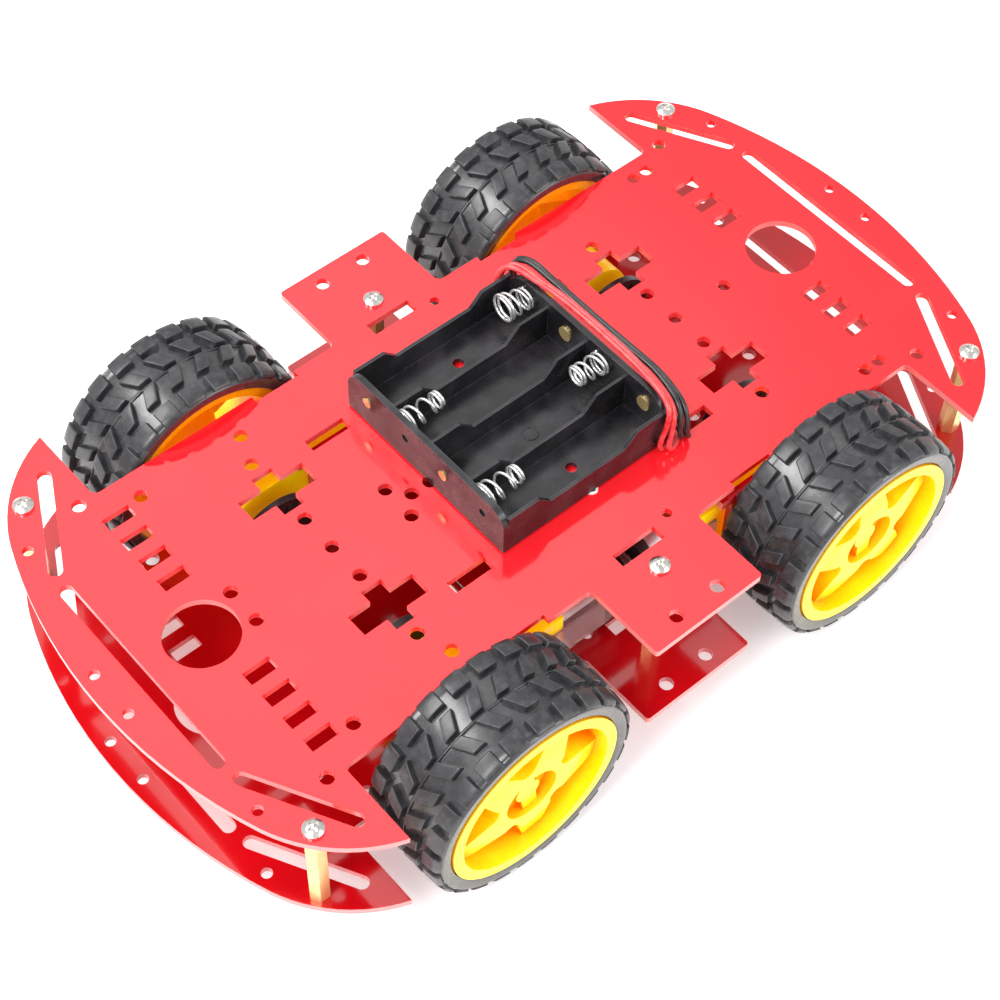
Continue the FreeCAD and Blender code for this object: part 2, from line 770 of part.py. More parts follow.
def brackets():
    """T-shaped plates: the stem stands up through the lower deck, the bar catches under it."""
    starts = {"inner_brackets": "(gearbox_inner_y - plate_thickness)", "outer_brackets": BOX_OUTER_Y}
    nodes = []
    for label, y in starts.items():
        end_y = f"{y} + plate_thickness"
        top = f"({AXLE_Z} + gearbox_height / 2 + bracket_top_above_box)"
        stem = box(f"{label}_stem", (f"{BOLT_X} - bracket_stem_length / 2", y, LOWER_Z),
                   (f"{BOLT_X} + bracket_stem_length / 2", end_y, top))
        bar_foot = f"{LOWER_Z} - bracket_bar_height"
        bar = box(f"{label}_bar", (f"{BOLT_X} - bracket_bar_length / 2", y, bar_foot),
                  (f"{BOLT_X} + bracket_bar_length / 2", end_y, LOWER_Z))
        holes = []
        for number, side in enumerate((1, -1)):
            z = f"({AXLE_Z} + {side} * motor_bolt_spacing / 2)"
            holes.append(rod(f"{label}_hole{number}", "motor_bolt_hole_radius",
                             (BOLT_X, y, z), "plate_thickness", "y"))
        blank = fuse(f"{label}_blank", stem, bar)
        nodes.append(at_corners(cut(f"{label}_one", blank, *holes), label))
    return nodes


# ---------------------------------------------------------------- gearbox, motor inside and out
def from_axle(distance):
    """The row X of a point inboard of the front left axle."""
    return f"(axle_x - ({distance}))"


def at_axle(height="0"):
    return f"({AXLE_Z} + {height})"


def round_ended(label, shrink):
    """The gearbox's outline, or its cavity when shrunk by the wall."""
    y0 = f"gearbox_inner_y + {shrink}"
    y1 = f"{BOX_OUTER_Y} - {shrink}"
    radius = f"(gearbox_height / 2 - {shrink})"
    block = box(f"{label}_block", (from_axle("gearbox_start"), y0, at_axle(f"-{radius}")),
                ("axle_x", y1, at_axle(radius)))
    nose = rod(f"{label}_nose", radius, ("axle_x", y0, AXLE_Z), f"({y1}) - ({y0})", "y")
    return fuse(label, block, nose)


def flat_can(label, radius, flat, start, length):
    """A motor can's shape: a round bar with two flats, along X."""
    tail = from_axle(f"{start} + {length}")
    bar = rod(f"{label}_bar", radius, (tail, BOX_MID_Y, AXLE_Z), length, "x")
    slab = box(f"{label}_slab", (tail, f"{BOX_MID_Y} - ({flat})", at_axle(f"-({radius})")),
               (from_axle(start), f"{BOX_MID_Y} + {flat}", at_axle(radius)))
    return common(label, bar, slab)


def gearbox_posts():
    """Bosses in the cavity around the bolts, the case screws, the gear pins and the shaft."""
    wall_y = "(gearbox_inner_y + gearbox_wall)"
    far_wall_y = f"({BOX_OUTER_Y} - gearbox_wall)"
    posts = []
    for number, side in enumerate((1, -1)):
        bolt_z = at_axle(f"{side} * motor_bolt_spacing / 2")
        posts.append(rod(f"bolt_boss{number}", "bolt_boss_radius", (BOLT_X, wall_y, bolt_z),
                         f"{far_wall_y} - {wall_y}", "y"))
        screw_z = at_axle(f"{side} * shell_screw_offset")
        posts.append(rod(f"screw_boss{number}", "shell_screw_boss_radius",
                         (from_axle("shell_screw_from_axle"), wall_y, screw_z),
                         f"{far_wall_y} - {wall_y}", "y"))
    spans = [
        (SECOND_X, wall_y, "second_pinion_start - gear_end_float", "pin_boss_radius"),
        (SECOND_X, "second_wheel_end + gear_end_float", far_wall_y, "pin_boss_radius"),
        (CROWN_X, wall_y, BOX_MID_Y, "pin_boss_radius"),
        (CROWN_X, "crown_pinion_end + gear_end_float", far_wall_y, "pin_boss_radius"),
        ("0", wall_y, "final_gear_start - gear_end_float", "shaft_boss_radius"),
    ]
    for number, (inboard, start, end, radius) in enumerate(spans):
        posts.append(rod(f"gear_boss{number}", radius, (from_axle(inboard), start, AXLE_Z),
                         f"({end}) - ({start})", "y"))
    return posts


def gearbox():
    """The whole case with its cavity, cut into an inner and an outer shell."""
    hull = round_ended("gearbox_hull", "0")
    collar_low_y, collar_high_y = f"{BOX_MID_Y} - collar_half_width", f"{BOX_MID_Y} + collar_half_width"
    collar = box("gearbox_collar", (from_axle("collar_start"), collar_low_y, at_axle("-collar_half_height")),
                 (from_axle("gearbox_start"), collar_high_y, at_axle("collar_half_height")))
    cavity = round_ended("gearbox_cavity", "gearbox_wall")
    hollow = cut("gearbox_hollow", fuse("gearbox_skin", hull, collar), cavity)
    lugs = []
    for number, side in enumerate((1, -1)):
        start = f"{BOX_MID_Y} + {side} * (collar_half_width + lug_depth / 2) - lug_depth / 2"
        low = (from_axle("strap_hook + lug_length"), start, at_axle("-lug_height / 2"))
        high = (from_axle("strap_hook"), f"{start} + lug_depth", at_axle("lug_height / 2"))
        lugs.append(box(f"strap_lug{number}", low, high))
    filled = fuse("gearbox_filled", hollow, *gearbox_posts(), *lugs)
    seat_start = "(gearbox_start - gearbox_wall - press_gap)"
    seat = flat_can("can_seat", "can_radius + press_gap", "can_flat + press_gap",
                    seat_start, f"collar_start - {seat_start} + press_gap")
    openings = [seat]
    through = ("gearbox_inner_y - 1", "gearbox_width + 2")
    openings.append(rod("shaft_hole", "shaft_radius + shaft_clearance",
                        ("axle_x", through[0], AXLE_Z), through[1], "y"))
    for number, inboard in enumerate((SECOND_X, CROWN_X)):
        openings.append(rod(f"pin_hole{number}", "gear_pin_radius",
                            (from_axle(inboard), "gearbox_inner_y + pin_inset", AXLE_Z),
                            "gearbox_width - 2 * pin_inset", "y"))
    for number, side in enumerate((1, -1)):
        bolt_z = at_axle(f"{side} * motor_bolt_spacing / 2")
        openings.append(rod(f"bolt_hole{number}", "motor_bolt_hole_radius",
                            (BOLT_X, through[0], bolt_z), through[1], "y"))
        screw_z = at_axle(f"{side} * shell_screw_offset")
        openings.append(rod(f"case_screw_hole{number}", "shell_screw_radius",
                            (from_axle("shell_screw_from_axle"), "gearbox_inner_y + 2", screw_z),
                            "gearbox_width", "y"))
    case = cut("gearbox_case", filled, *openings)
    shells = []
    spans = {
        "gearbox_inner_shells": ("0", BOX_MID_Y),
        "gearbox_outer_shells": (BOX_MID_Y, f"{BOX_MID_Y} * 2"),
    }
    for label, (low, high) in spans.items():
        side = box(f"{label}_side", ("0", low, at_axle("-gearbox_height")),
                   ("axle_x + gearbox_height", high, at_axle("gearbox_height")))
        shells.append(at_corners(common(f"{label}_one", case, side), label))
    return shells


def gearbox_screws():
    screws = []
    for number, side in enumerate((1, -1)):
        x = from_axle("shell_screw_from_axle")
        z = at_axle(f"{side} * shell_screw_offset")
        stem = rod(f"case_screw_stem{number}", "shell_screw_radius",
                   (x, "gearbox_inner_y + 2", z), "gearbox_width - 2", "y")
        head = rod(f"case_screw_head{number}", "shell_screw_head_radius",
                   (x, BOX_OUTER_Y, z), "shell_screw_head_height", "y")
        screws.append(fuse(f"case_screw{number}", stem, head))
    return at_corners(group("corner_case_screws", screws), "gearbox_screws")


def gear_pins():
    pins = []
    for number, inboard in enumerate((SECOND_X, CROWN_X)):
        pins.append(rod(f"gear_pin{number}", "gear_pin_radius",
                        (from_axle(inboard), "gearbox_inner_y + pin_inset", AXLE_Z),
                        "gearbox_width - 2 * pin_inset", "y"))
    return at_corners(group("corner_gear_pins", pins), "gear_pins")


def motor_outside():
    """Steel can with its front bearing boss, plastic end cap, solder terminals and clear strap."""
    can_end = "(can_front + can_length)"
    skin = flat_can("can_skin", "can_radius", "can_flat", "can_front", "can_length")
    hollow = flat_can("can_hollow", "can_radius - can_wall", "can_flat - can_wall",
                      "can_front + can_wall", "can_length - can_wall")
    boss = rod("can_boss", "can_boss_radius", (from_axle("can_front"), BOX_MID_Y, AXLE_Z),
               "can_boss_length", "x")
    shaft_way = rod("can_shaft_way", "motor_shaft_radius + shaft_clearance",
                    (from_axle("can_front + 2"), BOX_MID_Y, AXLE_Z), "4", "x")
    can = cut("can_one", fuse("can_blank", cut("can_shell", skin, hollow), boss), shaft_way)
    cap = flat_can("cap_plate", "can_radius", "can_flat", can_end, "end_cap_length")
    cap_boss = rod("cap_boss", "end_cap_boss_radius",
                   (from_axle(f"{can_end} + end_cap_length + end_cap_boss_length"), BOX_MID_Y, AXLE_Z),
                   "end_cap_boss_length", "x")
    cap_bore = rod("cap_bore", "motor_shaft_radius + shaft_clearance",
                   (from_axle(f"{can_end} + end_cap_length"), BOX_MID_Y, AXLE_Z), "end_cap_length", "x")
    end_cap = cut("end_cap_one", fuse("cap_blank", cap, cap_boss), cap_bore)
    terminals = []
    for number, side in enumerate((1, -1)):
        low_z = f"{side} * terminal_offset"
        low = (from_axle(f"{can_end} + end_cap_length + terminal_length"),
               f"{BOX_MID_Y} - terminal_width / 2", at_axle(low_z))
        high = (from_axle(f"{can_end} + end_cap_length"),
                f"{BOX_MID_Y} + terminal_width / 2", at_axle(f"{low_z} + terminal_thickness"))
        terminals.append(box(f"terminal{number}", low, high))
    return [at_corners(can, "motor_cans"), at_corners(end_cap, "motor_end_caps"),
            at_corners(group("corner_terminals", terminals), "motor_terminals")]


def motor_strap():
    """A clear U-shaped band from lug to lug round the back of the can."""
    gap = "(collar_half_width + strap_gap)"
    reach = f"({gap} + strap_thickness)"
    half = "strap_height / 2"
    hook_end = "strap_hook - lug_length"
    tail = from_axle("strap_end + strap_thickness")
    outer = box("strap_outer", (tail, f"{BOX_MID_Y} - {reach}", at_axle(f"-{half}")),
                (from_axle(hook_end), f"{BOX_MID_Y} + {reach}", at_axle(half)))
    inner = box("strap_inner", (from_axle("strap_end"), f"{BOX_MID_Y} - {gap}", at_axle("-strap_height")),
                (from_axle(f"{hook_end} - 1"), f"{BOX_MID_Y} + {gap}", at_axle("strap_height")))
    slack = "2 * strap_gap"
    window = box("strap_window",
                 (from_axle(f"strap_hook + lug_length + {slack}"), f"{BOX_MID_Y} - 2 * {reach}",
                  at_axle(f"-lug_height / 2 - {slack}")),
                 (from_axle(f"strap_hook - {slack}"), f"{BOX_MID_Y} + 2 * {reach}",
                  at_axle(f"lug_height / 2 + {slack}")))
    boss_hole = rod("strap_hole", "end_cap_boss_radius + 3 * strap_gap",
                    (from_axle("strap_end + end_cap_length"), BOX_MID_Y, AXLE_Z), "2 * end_cap_length", "x")
    return at_corners(cut("strap_one", outer, inner, window, boss_hole), "motor_straps")


def magnets():
    """Two curved magnets against the inside of the can, above and below the rotor."""
    tail = from_axle("rotor_front + rotor_length")
    ring = cut("magnet_ring",
               rod("magnet_outside", "can_radius - can_wall", (tail, BOX_MID_Y, AXLE_Z), "rotor_length", "x"),
               rod("magnet_inside", "magnet_inner_radius", (tail, BOX_MID_Y, AXLE_Z), "rotor_length", "x"))
    pieces = []
    for number, (low, high) in enumerate((("0", "can_radius"), ("-can_radius", "0"))):
        block = box(f"magnet_block{number}", (tail, f"{BOX_MID_Y} - magnet_half_width", at_axle(low)),
                    (from_axle("rotor_front"), f"{BOX_MID_Y} + magnet_half_width", at_axle(high)))
        pieces.append(common(f"magnet{number}", ring, block))
    return at_corners(group("corner_magnets", pieces), "motor_magnets")


# ---------------------------------------------------------------- gears
BACKLASH_SHARE = 0.16
ADDENDUM = 0.85
DEDENDUM = 1.2
PRESSURE_ANGLE = math.radians(20.0)
# the crown gear's teeth: depth each side of the pitch plane, and half widths as shares of the pitch
CROWN_ROOT = 1.25
CROWN_TIP = 0.8
CROWN_ROOT_SHARE = 0.42
CROWN_TIP_SHARE = 0.22


def gear_face(teeth, module, bore, phase):
    """A spur gear's face in the XZ plane, with a tooth centred on the phase angle."""
    pitch_radius = module * teeth / 2
    tip = pitch_radius + ADDENDUM * module
    root = pitch_radius - DEDENDUM * module
    base = pitch_radius * math.cos(PRESSURE_ANGLE)
    roll = math.sqrt((pitch_radius / base) ** 2 - 1)
    pitch_turn = roll - math.atan(roll)
    half_tooth = math.pi / teeth / 2 * (1 - BACKLASH_SHARE)
    flank = [(root, half_tooth + pitch_turn)]
    steps = 4
    start = max(base, root)
    for step in range(steps + 1):
        radius = start + (tip - start) * step / steps
        turn = math.sqrt(max((radius / base) ** 2 - 1, 0.0))
        flank.append((radius, half_tooth + pitch_turn - (turn - math.atan(turn))))
    if root >= base:
        flank = flank[1:]
    points = []
    for tooth in range(int(teeth)):
        middle = phase + 2 * math.pi * tooth / teeth
        sides = [(radius, middle - turn) for radius, turn in flank]
        sides += [(radius, middle + turn) for radius, turn in reversed(flank)]
        points += [Vector(r * math.cos(a), 0, r * math.sin(a)) for r, a in sides]
    face = Part.Face(Part.makePolygon(points + points[:1]))
    if bore > 0:
        disc = Part.Face(Part.Wire(Part.makeCircle(bore, Vector(), Vector(0, 1, 0))))
        face = face.cut(disc)
    return face


def spur(teeth, module, bore, phase, start, end):
    """A gear solid about an axis along Y through the local origin."""
    solid = gear_face(teeth, module, bore, phase).extrude(Vector(0, end - start, 0))
    solid.translate(Vector(0, start, 0))
    return solid


def shape_feature(label, shape, x="0", y="0", z="0"):
    """A solid made from sheet values, then put in its place."""
    item = document.addObject("Part::Feature", label)
    item.Shape = shape
    return drive(item, x=x, y=y, z=z)


def ring(outer, inner, start, end):
    """A plain tube about the local Y axis."""
    tube = Part.makeCylinder(outer, end - start, Vector(0, start, 0), Vector(0, 1, 0))
    if inner > 0:
        tube = tube.cut(Part.makeCylinder(inner, end - start, Vector(0, start, 0), Vector(0, 1, 0)))
    return tube


def output_shaft():
    """The final gear and the double-flat shaft that carries the wheel and the encoder disc."""
    start, end = size("shaft_inner_y"), size("shaft_outer_y")
    bar = ring(size("shaft_radius"), 0, start, end)
    flat = size("shaft_flat")
    radius = size("shaft_radius")
    inner_round, outer_round = size("gearbox_inner_y - pin_inset"), size(f"{BOX_OUTER_Y} + pin_inset")
    for first, last in ((start, inner_round), (outer_round, end)):
        for low in (flat, -radius - 1):
            slab = Part.makeBox(2 * radius, last - first, radius + 1 - flat,
                                Vector(-radius, first, low if low > 0 else -radius - 1))
            bar = bar.cut(slab)
    gear = spur(size("final_teeth"), size("gear_module"), 0, 0.0,
                size("final_gear_start"), size("final_gear_end"))
    solid = bar.fuse(gear).removeSplitter()
    master = shape_feature("output_shaft_master", solid, x="axle_x", z=AXLE_Z)
    return node_per_corner(master, "output_shaft")


def second_gear():
    module = size("gear_module")
    bore = size("gear_bore_radius")
    pinion_teeth = size("second_pinion_teeth")
    # the final gear has a tooth on the line of centres, so this pinion shows it a gap
    phase = math.pi / pinion_teeth
    wheel_start = size("second_wheel_start")
    pinion = spur(pinion_teeth, module, bore, phase, size("second_pinion_start"), wheel_start)
    wheel = spur(size("second_teeth"), module, bore, 0.0, wheel_start, size("second_wheel_end"))
    solid = pinion.fuse(wheel)
    master = shape_feature("second_gear_master", solid, x=from_axle(SECOND_X), z=AXLE_Z)
    return node_per_corner(master, "second_gear")


def crown_gear():
    """A face gear driven by the motor pinion, with a small spur pinion on its far side."""
    module = size("gear_module")
    bore = size("gear_bore_radius")
    fine = size("crown_module")
    teeth = int(size("crown_teeth"))
    pinion_teeth = size("crown_pinion_teeth")
    pitch_y = size(f"{BOX_MID_Y} + crown_module * motor_pinion_teeth / 2")
    face_y = pitch_y + CROWN_ROOT * fine
    tip_y = pitch_y - CROWN_TIP * fine
    root_y = face_y + size("gear_end_float") / 2
    inner, outer = size("crown_tooth_inner_radius"), size("crown_tooth_outer_radius")
    pitch_radius = fine * teeth / 2
    solid = ring(outer, bore, face_y, size("crown_disc_end"))
    hub = ring(size("pin_boss_radius"), bore, size(f"{BOX_MID_Y} + gear_end_float"), root_y)
    root_half = 0.5 * math.pi * fine * CROWN_ROOT_SHARE
    tip_half = 0.5 * math.pi * fine * CROWN_TIP_SHARE
    # one tooth gap points at the motor, where the pinion has a tooth
    for number in range(teeth):
        turn = math.pi + 2 * math.pi * (number + 0.5) / teeth
        sections = []
        for radius in (inner, outer):
            spread = radius / pitch_radius
            rims = ((root_y, -root_half), (tip_y, -tip_half), (tip_y, tip_half), (root_y, root_half))
            corners = [Vector(radius, y, half * spread) for y, half in rims]
            sections.append(Part.makePolygon(corners + corners[:1]))
        tooth = Part.makeLoft(sections, True, True)
        tooth.rotate(Vector(), Vector(0, 1, 0), math.degrees(turn))
        solid = solid.fuse(tooth)
    solid = solid.common(ring(outer, bore, tip_y - 1, size("crown_disc_end")))
    pinion = spur(pinion_teeth, module, bore, math.pi / pinion_teeth,
                  size("crown_disc_end"), size("crown_pinion_end"))
    solid = solid.multiFuse([pinion, hub])
    master = shape_feature("crown_gear_master", solid, x=from_axle(CROWN_X), z=AXLE_Z)
    return node_per_corner(master, "crown_gear")


def rotor():
    """Armature, commutator, shaft and pinion on the motor's own axis, along X."""
    shaft_start = size("can_front + can_length + end_cap_length")
    tip = size("pinion_start - pinion_length / 2 - 3 * gear_end_float")
    teeth = size("motor_pinion_teeth")
    fine = size("crown_module")
    pinion_end = size("pinion_start")
    face = gear_face(teeth, fine, 0, math.pi / 2)
    pinion = face.extrude(Vector(0, size("pinion_length"), 0))
    pinion.rotate(Vector(), Vector(0, 0, 1), -90)
    pinion.translate(Vector(-pinion_end, 0, 0))
    axis = Vector(1, 0, 0)
    thin = size("motor_shaft_radius - shaft_clearance")
    neck = size("can_front - can_boss_length - 2 * gear_end_float")
    parts = [
        Part.makeCylinder(size("motor_shaft_radius"), shaft_start - neck, Vector(-shaft_start, 0, 0), axis),
        Part.makeCylinder(thin, neck - tip, Vector(-neck, 0, 0), axis),
        Part.makeCylinder(size("rotor_radius"), size("rotor_length"),
                          Vector(-size("rotor_front + rotor_length"), 0, 0), axis),
        Part.makeCylinder(size("commutator_radius"), size("commutator_length"),
                          Vector(-size("rotor_front + rotor_length + commutator_length"), 0, 0), axis),
    ]
    solid = pinion.multiFuse(parts).removeSplitter()
    master = shape_feature("rotor_master", solid, x="axle_x", y=BOX_MID_Y, z=AXLE_Z)
    return node_per_corner(master, "rotor")


# ---------------------------------------------------------------- wheels
def tyre():
    """A plain-crowned tyre with rounded shoulders; the tread is worked on its surface later."""
    body = new_body("tyre_master", x="axle_x", z=AXLE_Z)
    profile = new_sketch(body, "XY_Plane", "tyre_profile")
    inner, outer = "tyre_inner_y", TYRE_OUTER_Y
    shoulder = "(tyre_radius - tyre_crown_drop)"
    flat_half = "(tyre_width / 2 - tyre_shoulder_depth)"
    crown = f"(({flat_half} * {flat_half} + tyre_crown_drop * tyre_crown_drop) / (2 * tyre_crown_drop))"
    lip_end = "(rim_outer_y - rim_lip_width)"
    lip_start = "(rim_inner_y + rim_lip_width)"
    outline(profile, [
        ("tyre_seat_radius", lip_start),
        ("tyre_bore_lip_radius", lip_start),
        ("tyre_bore_lip_radius", f"{inner} + tyre_side_recess"),
        (f"{shoulder} - tyre_shoulder_depth", inner, "tyre_shoulder_depth"),
        (shoulder, f"{inner} + tyre_shoulder_depth", crown),
        (shoulder, f"{outer} - tyre_shoulder_depth", "tyre_shoulder_depth"),
        (f"{shoulder} - tyre_shoulder_depth", outer),
        ("tyre_bore_lip_radius", f"{outer} - tyre_side_recess"),
        ("tyre_bore_lip_radius", lip_end),
        ("tyre_seat_radius", lip_end),
    ], "tyre")
    revolve(body, profile)
    return node_per_corner(body, "tyre")


def rim():
    """A spoked plastic rim: drum with two lips, web with five windows, hub with a pocket."""
    body = new_body("rim_master", x="axle_x", z=AXLE_Z)
    profile = new_sketch(body, "XY_Plane", "rim_profile")
    inner, outer = "rim_inner_y", "rim_outer_y"
    seat = "(tyre_seat_radius - seat_gap)"
    drum = "(tyre_seat_radius - rim_wall)"
    lip = "(tyre_bore_lip_radius - seat_gap)"
    lip_end = "(rim_outer_y - rim_lip_width + seat_gap)"
    lip_start = "(rim_inner_y + rim_lip_width - seat_gap)"
    bore = "(shaft_radius + press_gap)"
    boss_top = "(web_outer_y - hub_boss_sink)"
    outline(profile, [
        (bore, "hub_inner_y"),
        ("hub_sleeve_radius", "hub_inner_y"),
        ("hub_radius", "web_inner_y"),
        (drum, "web_inner_y"),
        (drum, inner),
        (lip, inner),
        (lip, lip_start),
        (seat, lip_start),
        (seat, lip_end),
        (lip, lip_end),
        (lip, outer),
        (drum, outer),
        (drum, "web_outer_y - spoke_drop"),
        ("hub_radius + 1", "web_outer_y"),
        ("hub_pocket_radius", "web_outer_y"),
        ("hub_pocket_radius", "web_outer_y - hub_pocket_depth"),
        ("hub_boss_radius", "web_outer_y - hub_pocket_depth"),
        ("hub_boss_radius", boss_top),
        ("0", boss_top),
        ("0", "shaft_outer_y + gear_end_float"),
        (bore, "shaft_outer_y + gear_end_float"),
    ], "rim")
    revolve(body, profile)
    windows = []
    count = int(size("spoke_count"))
    reach = f"({drum} + press_gap)"
    for number in range(count):
        windows.append(rim_window(f"window{number}", number * 360.0 / count, reach))
    drilled = cut("rim_drilled", body, *windows)
    return node_per_corner(fuse("rim_one", drilled, flat_key("rim_key"), pocket_bar("rim_bar")), "wheel_rim")


def rim_window(label, angle, reach):
    """One opening between two spokes, wide at the drum and rounded at the hub."""
    body = new_body(label, x="axle_x", z=AXLE_Z)
    sketch = new_sketch(body, "XZ_Plane", f"{label}_sketch", "-web_outer_y - 1")
    outline(sketch, [
        ("-window_hub_half", "window_inner_radius", "window_hub_bend"),
        ("window_hub_half", "window_inner_radius"),
        ("window_outer_half", f"sqrt({reach} * {reach} - window_outer_half * window_outer_half)", reach),
        ("-window_outer_half", f"sqrt({reach} * {reach} - window_outer_half * window_outer_half)"),
    ], "w")
    pad(body, sketch, "web_outer_y - web_inner_y + 2")
    body.Placement = FreeCAD.Placement(body.Placement.Base, Rotation(Vector(0, 1, 0), angle))
    return body


def pocket_bar(label):
    """A bar across the hub's pocket, in line with the first window."""
    low = ("axle_x - hub_bar_half", "web_outer_y - hub_pocket_depth", at_axle("-hub_pocket_radius"))
    high = ("axle_x + hub_bar_half", "web_outer_y - hub_boss_sink", at_axle("hub_pocket_radius"))
    return box(label, low, high)


def flat_key(label):
    """Two pads inside the hub's bore that grip the flats of the shaft."""
    radius = "(shaft_radius + shaft_clearance)"
    pads = []
    bore = rod(f"{label}_bore", radius, ("axle_x", "hub_inner_y", AXLE_Z),
               "shaft_outer_y - hub_inner_y", "y")
    for number, side in enumerate((1, -1)):
        low = at_axle("shaft_flat") if side > 0 else at_axle(f"-{radius}")
        high = at_axle(radius) if side > 0 else at_axle("-shaft_flat")
        slab = box(f"{label}_slab{number}", (f"axle_x - {radius}", "hub_inner_y", low),
                   (f"axle_x + {radius}", "shaft_outer_y", high))
        pads.append(common(f"{label}_pad{number}", bore, slab))
    return fuse(label, *pads)


def encoder_disc():
    """A slotted disc and hub pressed on the shaft's inner end."""
    thickness = "encoder_thickness"
    disc = rod("encoder_plate", "encoder_radius", ("axle_x", "encoder_inner_y", AXLE_Z), thickness, "y")
    hub = rod("encoder_hub", "encoder_hub_radius", ("axle_x", "encoder_inner_y", AXLE_Z),
              "encoder_hub_end - encoder_inner_y", "y")
    bore = common("encoder_bore",
                  rod("encoder_round", "shaft_radius", ("axle_x", "encoder_inner_y - 1", AXLE_Z),
                      "encoder_hub_end - encoder_inner_y + 2", "y"),
                  box("encoder_flats", ("axle_x - 5", "encoder_inner_y - 1", at_axle("-shaft_flat")),
                      ("axle_x + 5", "encoder_hub_end + 1", at_axle("shaft_flat"))))
    count = int(size("encoder_slot_count"))
    tools = [bore]
    centre = Vector(size("axle_x"), size("encoder_inner_y - 1"), size(AXLE_Z))
    for number in range(count):
        slot = part("Box", f"encoder_slot{number}")
        turn = Rotation(Vector(0, 1, 0), 360.0 * number / count)
        half = size("encoder_slot_width") / 2
        corner = turn.multVec(Vector(size("encoder_slot_inner"), 0, -half))
        slot.Placement = FreeCAD.Placement(centre + corner, turn)
        drive(slot, Length="encoder_slot_outer - encoder_slot_inner", Width="encoder_thickness + 2",
              Height="encoder_slot_width")
        tools.append(slot)
    return node_per_corner(cut("encoder_one", fuse("encoder_blank", disc, hub), *tools), "encoder_disc")


# ---------------------------------------------------------------- battery holder
HOLDER_X0 = "(holder_centre_x - holder_length / 2)"
HOLDER_X1 = "(holder_centre_x + holder_length / 2)"
HOLDER_Y0 = "(holder_centre_y - holder_width / 2)"
HOLDER_Y1 = "(holder_centre_y + holder_width / 2)"
HOLDER_TOP = f"({HOLDER_Z} + holder_height)"


def bay_y(number):
    """The centre line of a cell bay; bay 0 is on the far left."""
    return f"(holder_centre_y + {1.5 - number} * bay_pitch)"


def spring_at_front(number):
    return number % 2 == 0


def end_wall(label, x, corner):
    """A wall across the cells' ends, with its two upper corners rounded."""
    body = new_body(label, x=x)
    sketch = new_sketch(body, "YZ_Plane", f"{label}_sketch")
    outline(sketch, [
        (HOLDER_Y0, HOLDER_Z),
        (HOLDER_Y1, HOLDER_Z),
        (HOLDER_Y1, f"{HOLDER_TOP} - {corner}", corner),
        (f"{HOLDER_Y1} - {corner}", HOLDER_TOP),
        (f"{HOLDER_Y0} + {corner}", HOLDER_TOP, corner),
        (HOLDER_Y0, f"{HOLDER_TOP} - {corner}"),
    ], "wall")
    pad(body, sketch, "holder_end_wall")
    return body


def rib(label, y, thickness, low, high):
    """A divider, high at both ends and lower along the middle."""
    body = new_body(label, y=y)
    sketch = new_sketch(body, "XZ_Plane", f"{label}_sketch")
    x0, x1 = f"({HOLDER_X0} + holder_end_wall)", f"({HOLDER_X1} - holder_end_wall)"
    top, dip = f"({HOLDER_Z} + {high})", f"({HOLDER_Z} + {low})"
    slope = f"({high} - {low})"
    outline(sketch, [
        (x0, HOLDER_Z), (x1, HOLDER_Z), (x1, top),
        (f"{x1} - rib_end_length", top), (f"{x1} - rib_end_length - {slope}", dip),
        (f"{x0} + rib_end_length + {slope}", dip), (f"{x0} + rib_end_length", top), (x0, top),
    ], "rib")
    feature = pad(body, sketch, thickness)
    feature.Midplane = True
    return body


def battery_holder():
    floor = box("holder_base", (HOLDER_X0, HOLDER_Y0, HOLDER_Z),
                (HOLDER_X1, HOLDER_Y1, f"{HOLDER_Z} + holder_floor"))
    pieces = [floor]
    pieces.append(end_wall("rear_end_wall", HOLDER_X0, "holder_rear_corner"))
    pieces.append(end_wall("front_end_wall", f"{HOLDER_X1} - holder_end_wall", "holder_front_corner"))
    for number in range(3):
        y = f"(holder_centre_y + {1 - number} * bay_pitch)"
        pieces.append(rib(f"rib{number}", y, "rib_thickness", "rib_low_height", "rib_high_height"))
    for number, side in enumerate((1, -1)):
        y = f"(holder_centre_y + {side} * (holder_width / 2 - holder_side_wall / 2))"
        pieces.append(rib(f"side_wall{number}", y, "holder_side_wall",
                          "side_cut_height", "rib_high_height"))
    tray = fuse("holder_tray", *pieces)
    tools = []
    for number, side in enumerate((1, -1)):
        y = f"(holder_centre_y + {side} * holder_hole_y)"
        tools.append(rod(f"holder_hole{number}", "holder_hole_radius",
                         ("holder_hole_x", y, HOLDER_Z), "holder_floor", "z"))
    for number in range(4):
        z = f"({HOLDER_Z} + holder_floor + cell_radius)"
        for end, x in (("front", f"{HOLDER_X1} - holder_end_wall"), ("rear", HOLDER_X0)):
            tools.append(rod(f"rivet_hole_{end}{number}", "rivet_stem_radius", (x, bay_y(number), z),
                             "holder_end_wall", "x"))
    return cut("battery_holder", tray, *tools)


def cell_contacts():
    """In each bay a rivet through the end wall that has no spring, with a head on both sides."""
    rivets = []
    for number in range(4):
        y, z = bay_y(number), f"({HOLDER_Z} + holder_floor + cell_radius)"
        stem_x = f"({HOLDER_X1} - holder_end_wall)"
        inner_x, outer_x = f"{stem_x} - rivet_thickness", HOLDER_X1
        if spring_at_front(number):
            stem_x = HOLDER_X0
            inner_x, outer_x = f"{stem_x} + holder_end_wall", f"{stem_x} - rivet_tail"
        head = rod(f"rivet_head{number}", "rivet_radius", (inner_x, y, z), "rivet_thickness", "x")
        tail = rod(f"rivet_tail{number}", "rivet_tail_radius", (outer_x, y, z), "rivet_tail", "x")
        stem = rod(f"rivet_stem{number}", "rivet_stem_radius - press_gap", (stem_x, y, z),
                   "holder_end_wall", "x")
        rivets.append(fuse(f"rivet{number}", head, stem, tail))
    return group("cell_contacts", rivets)


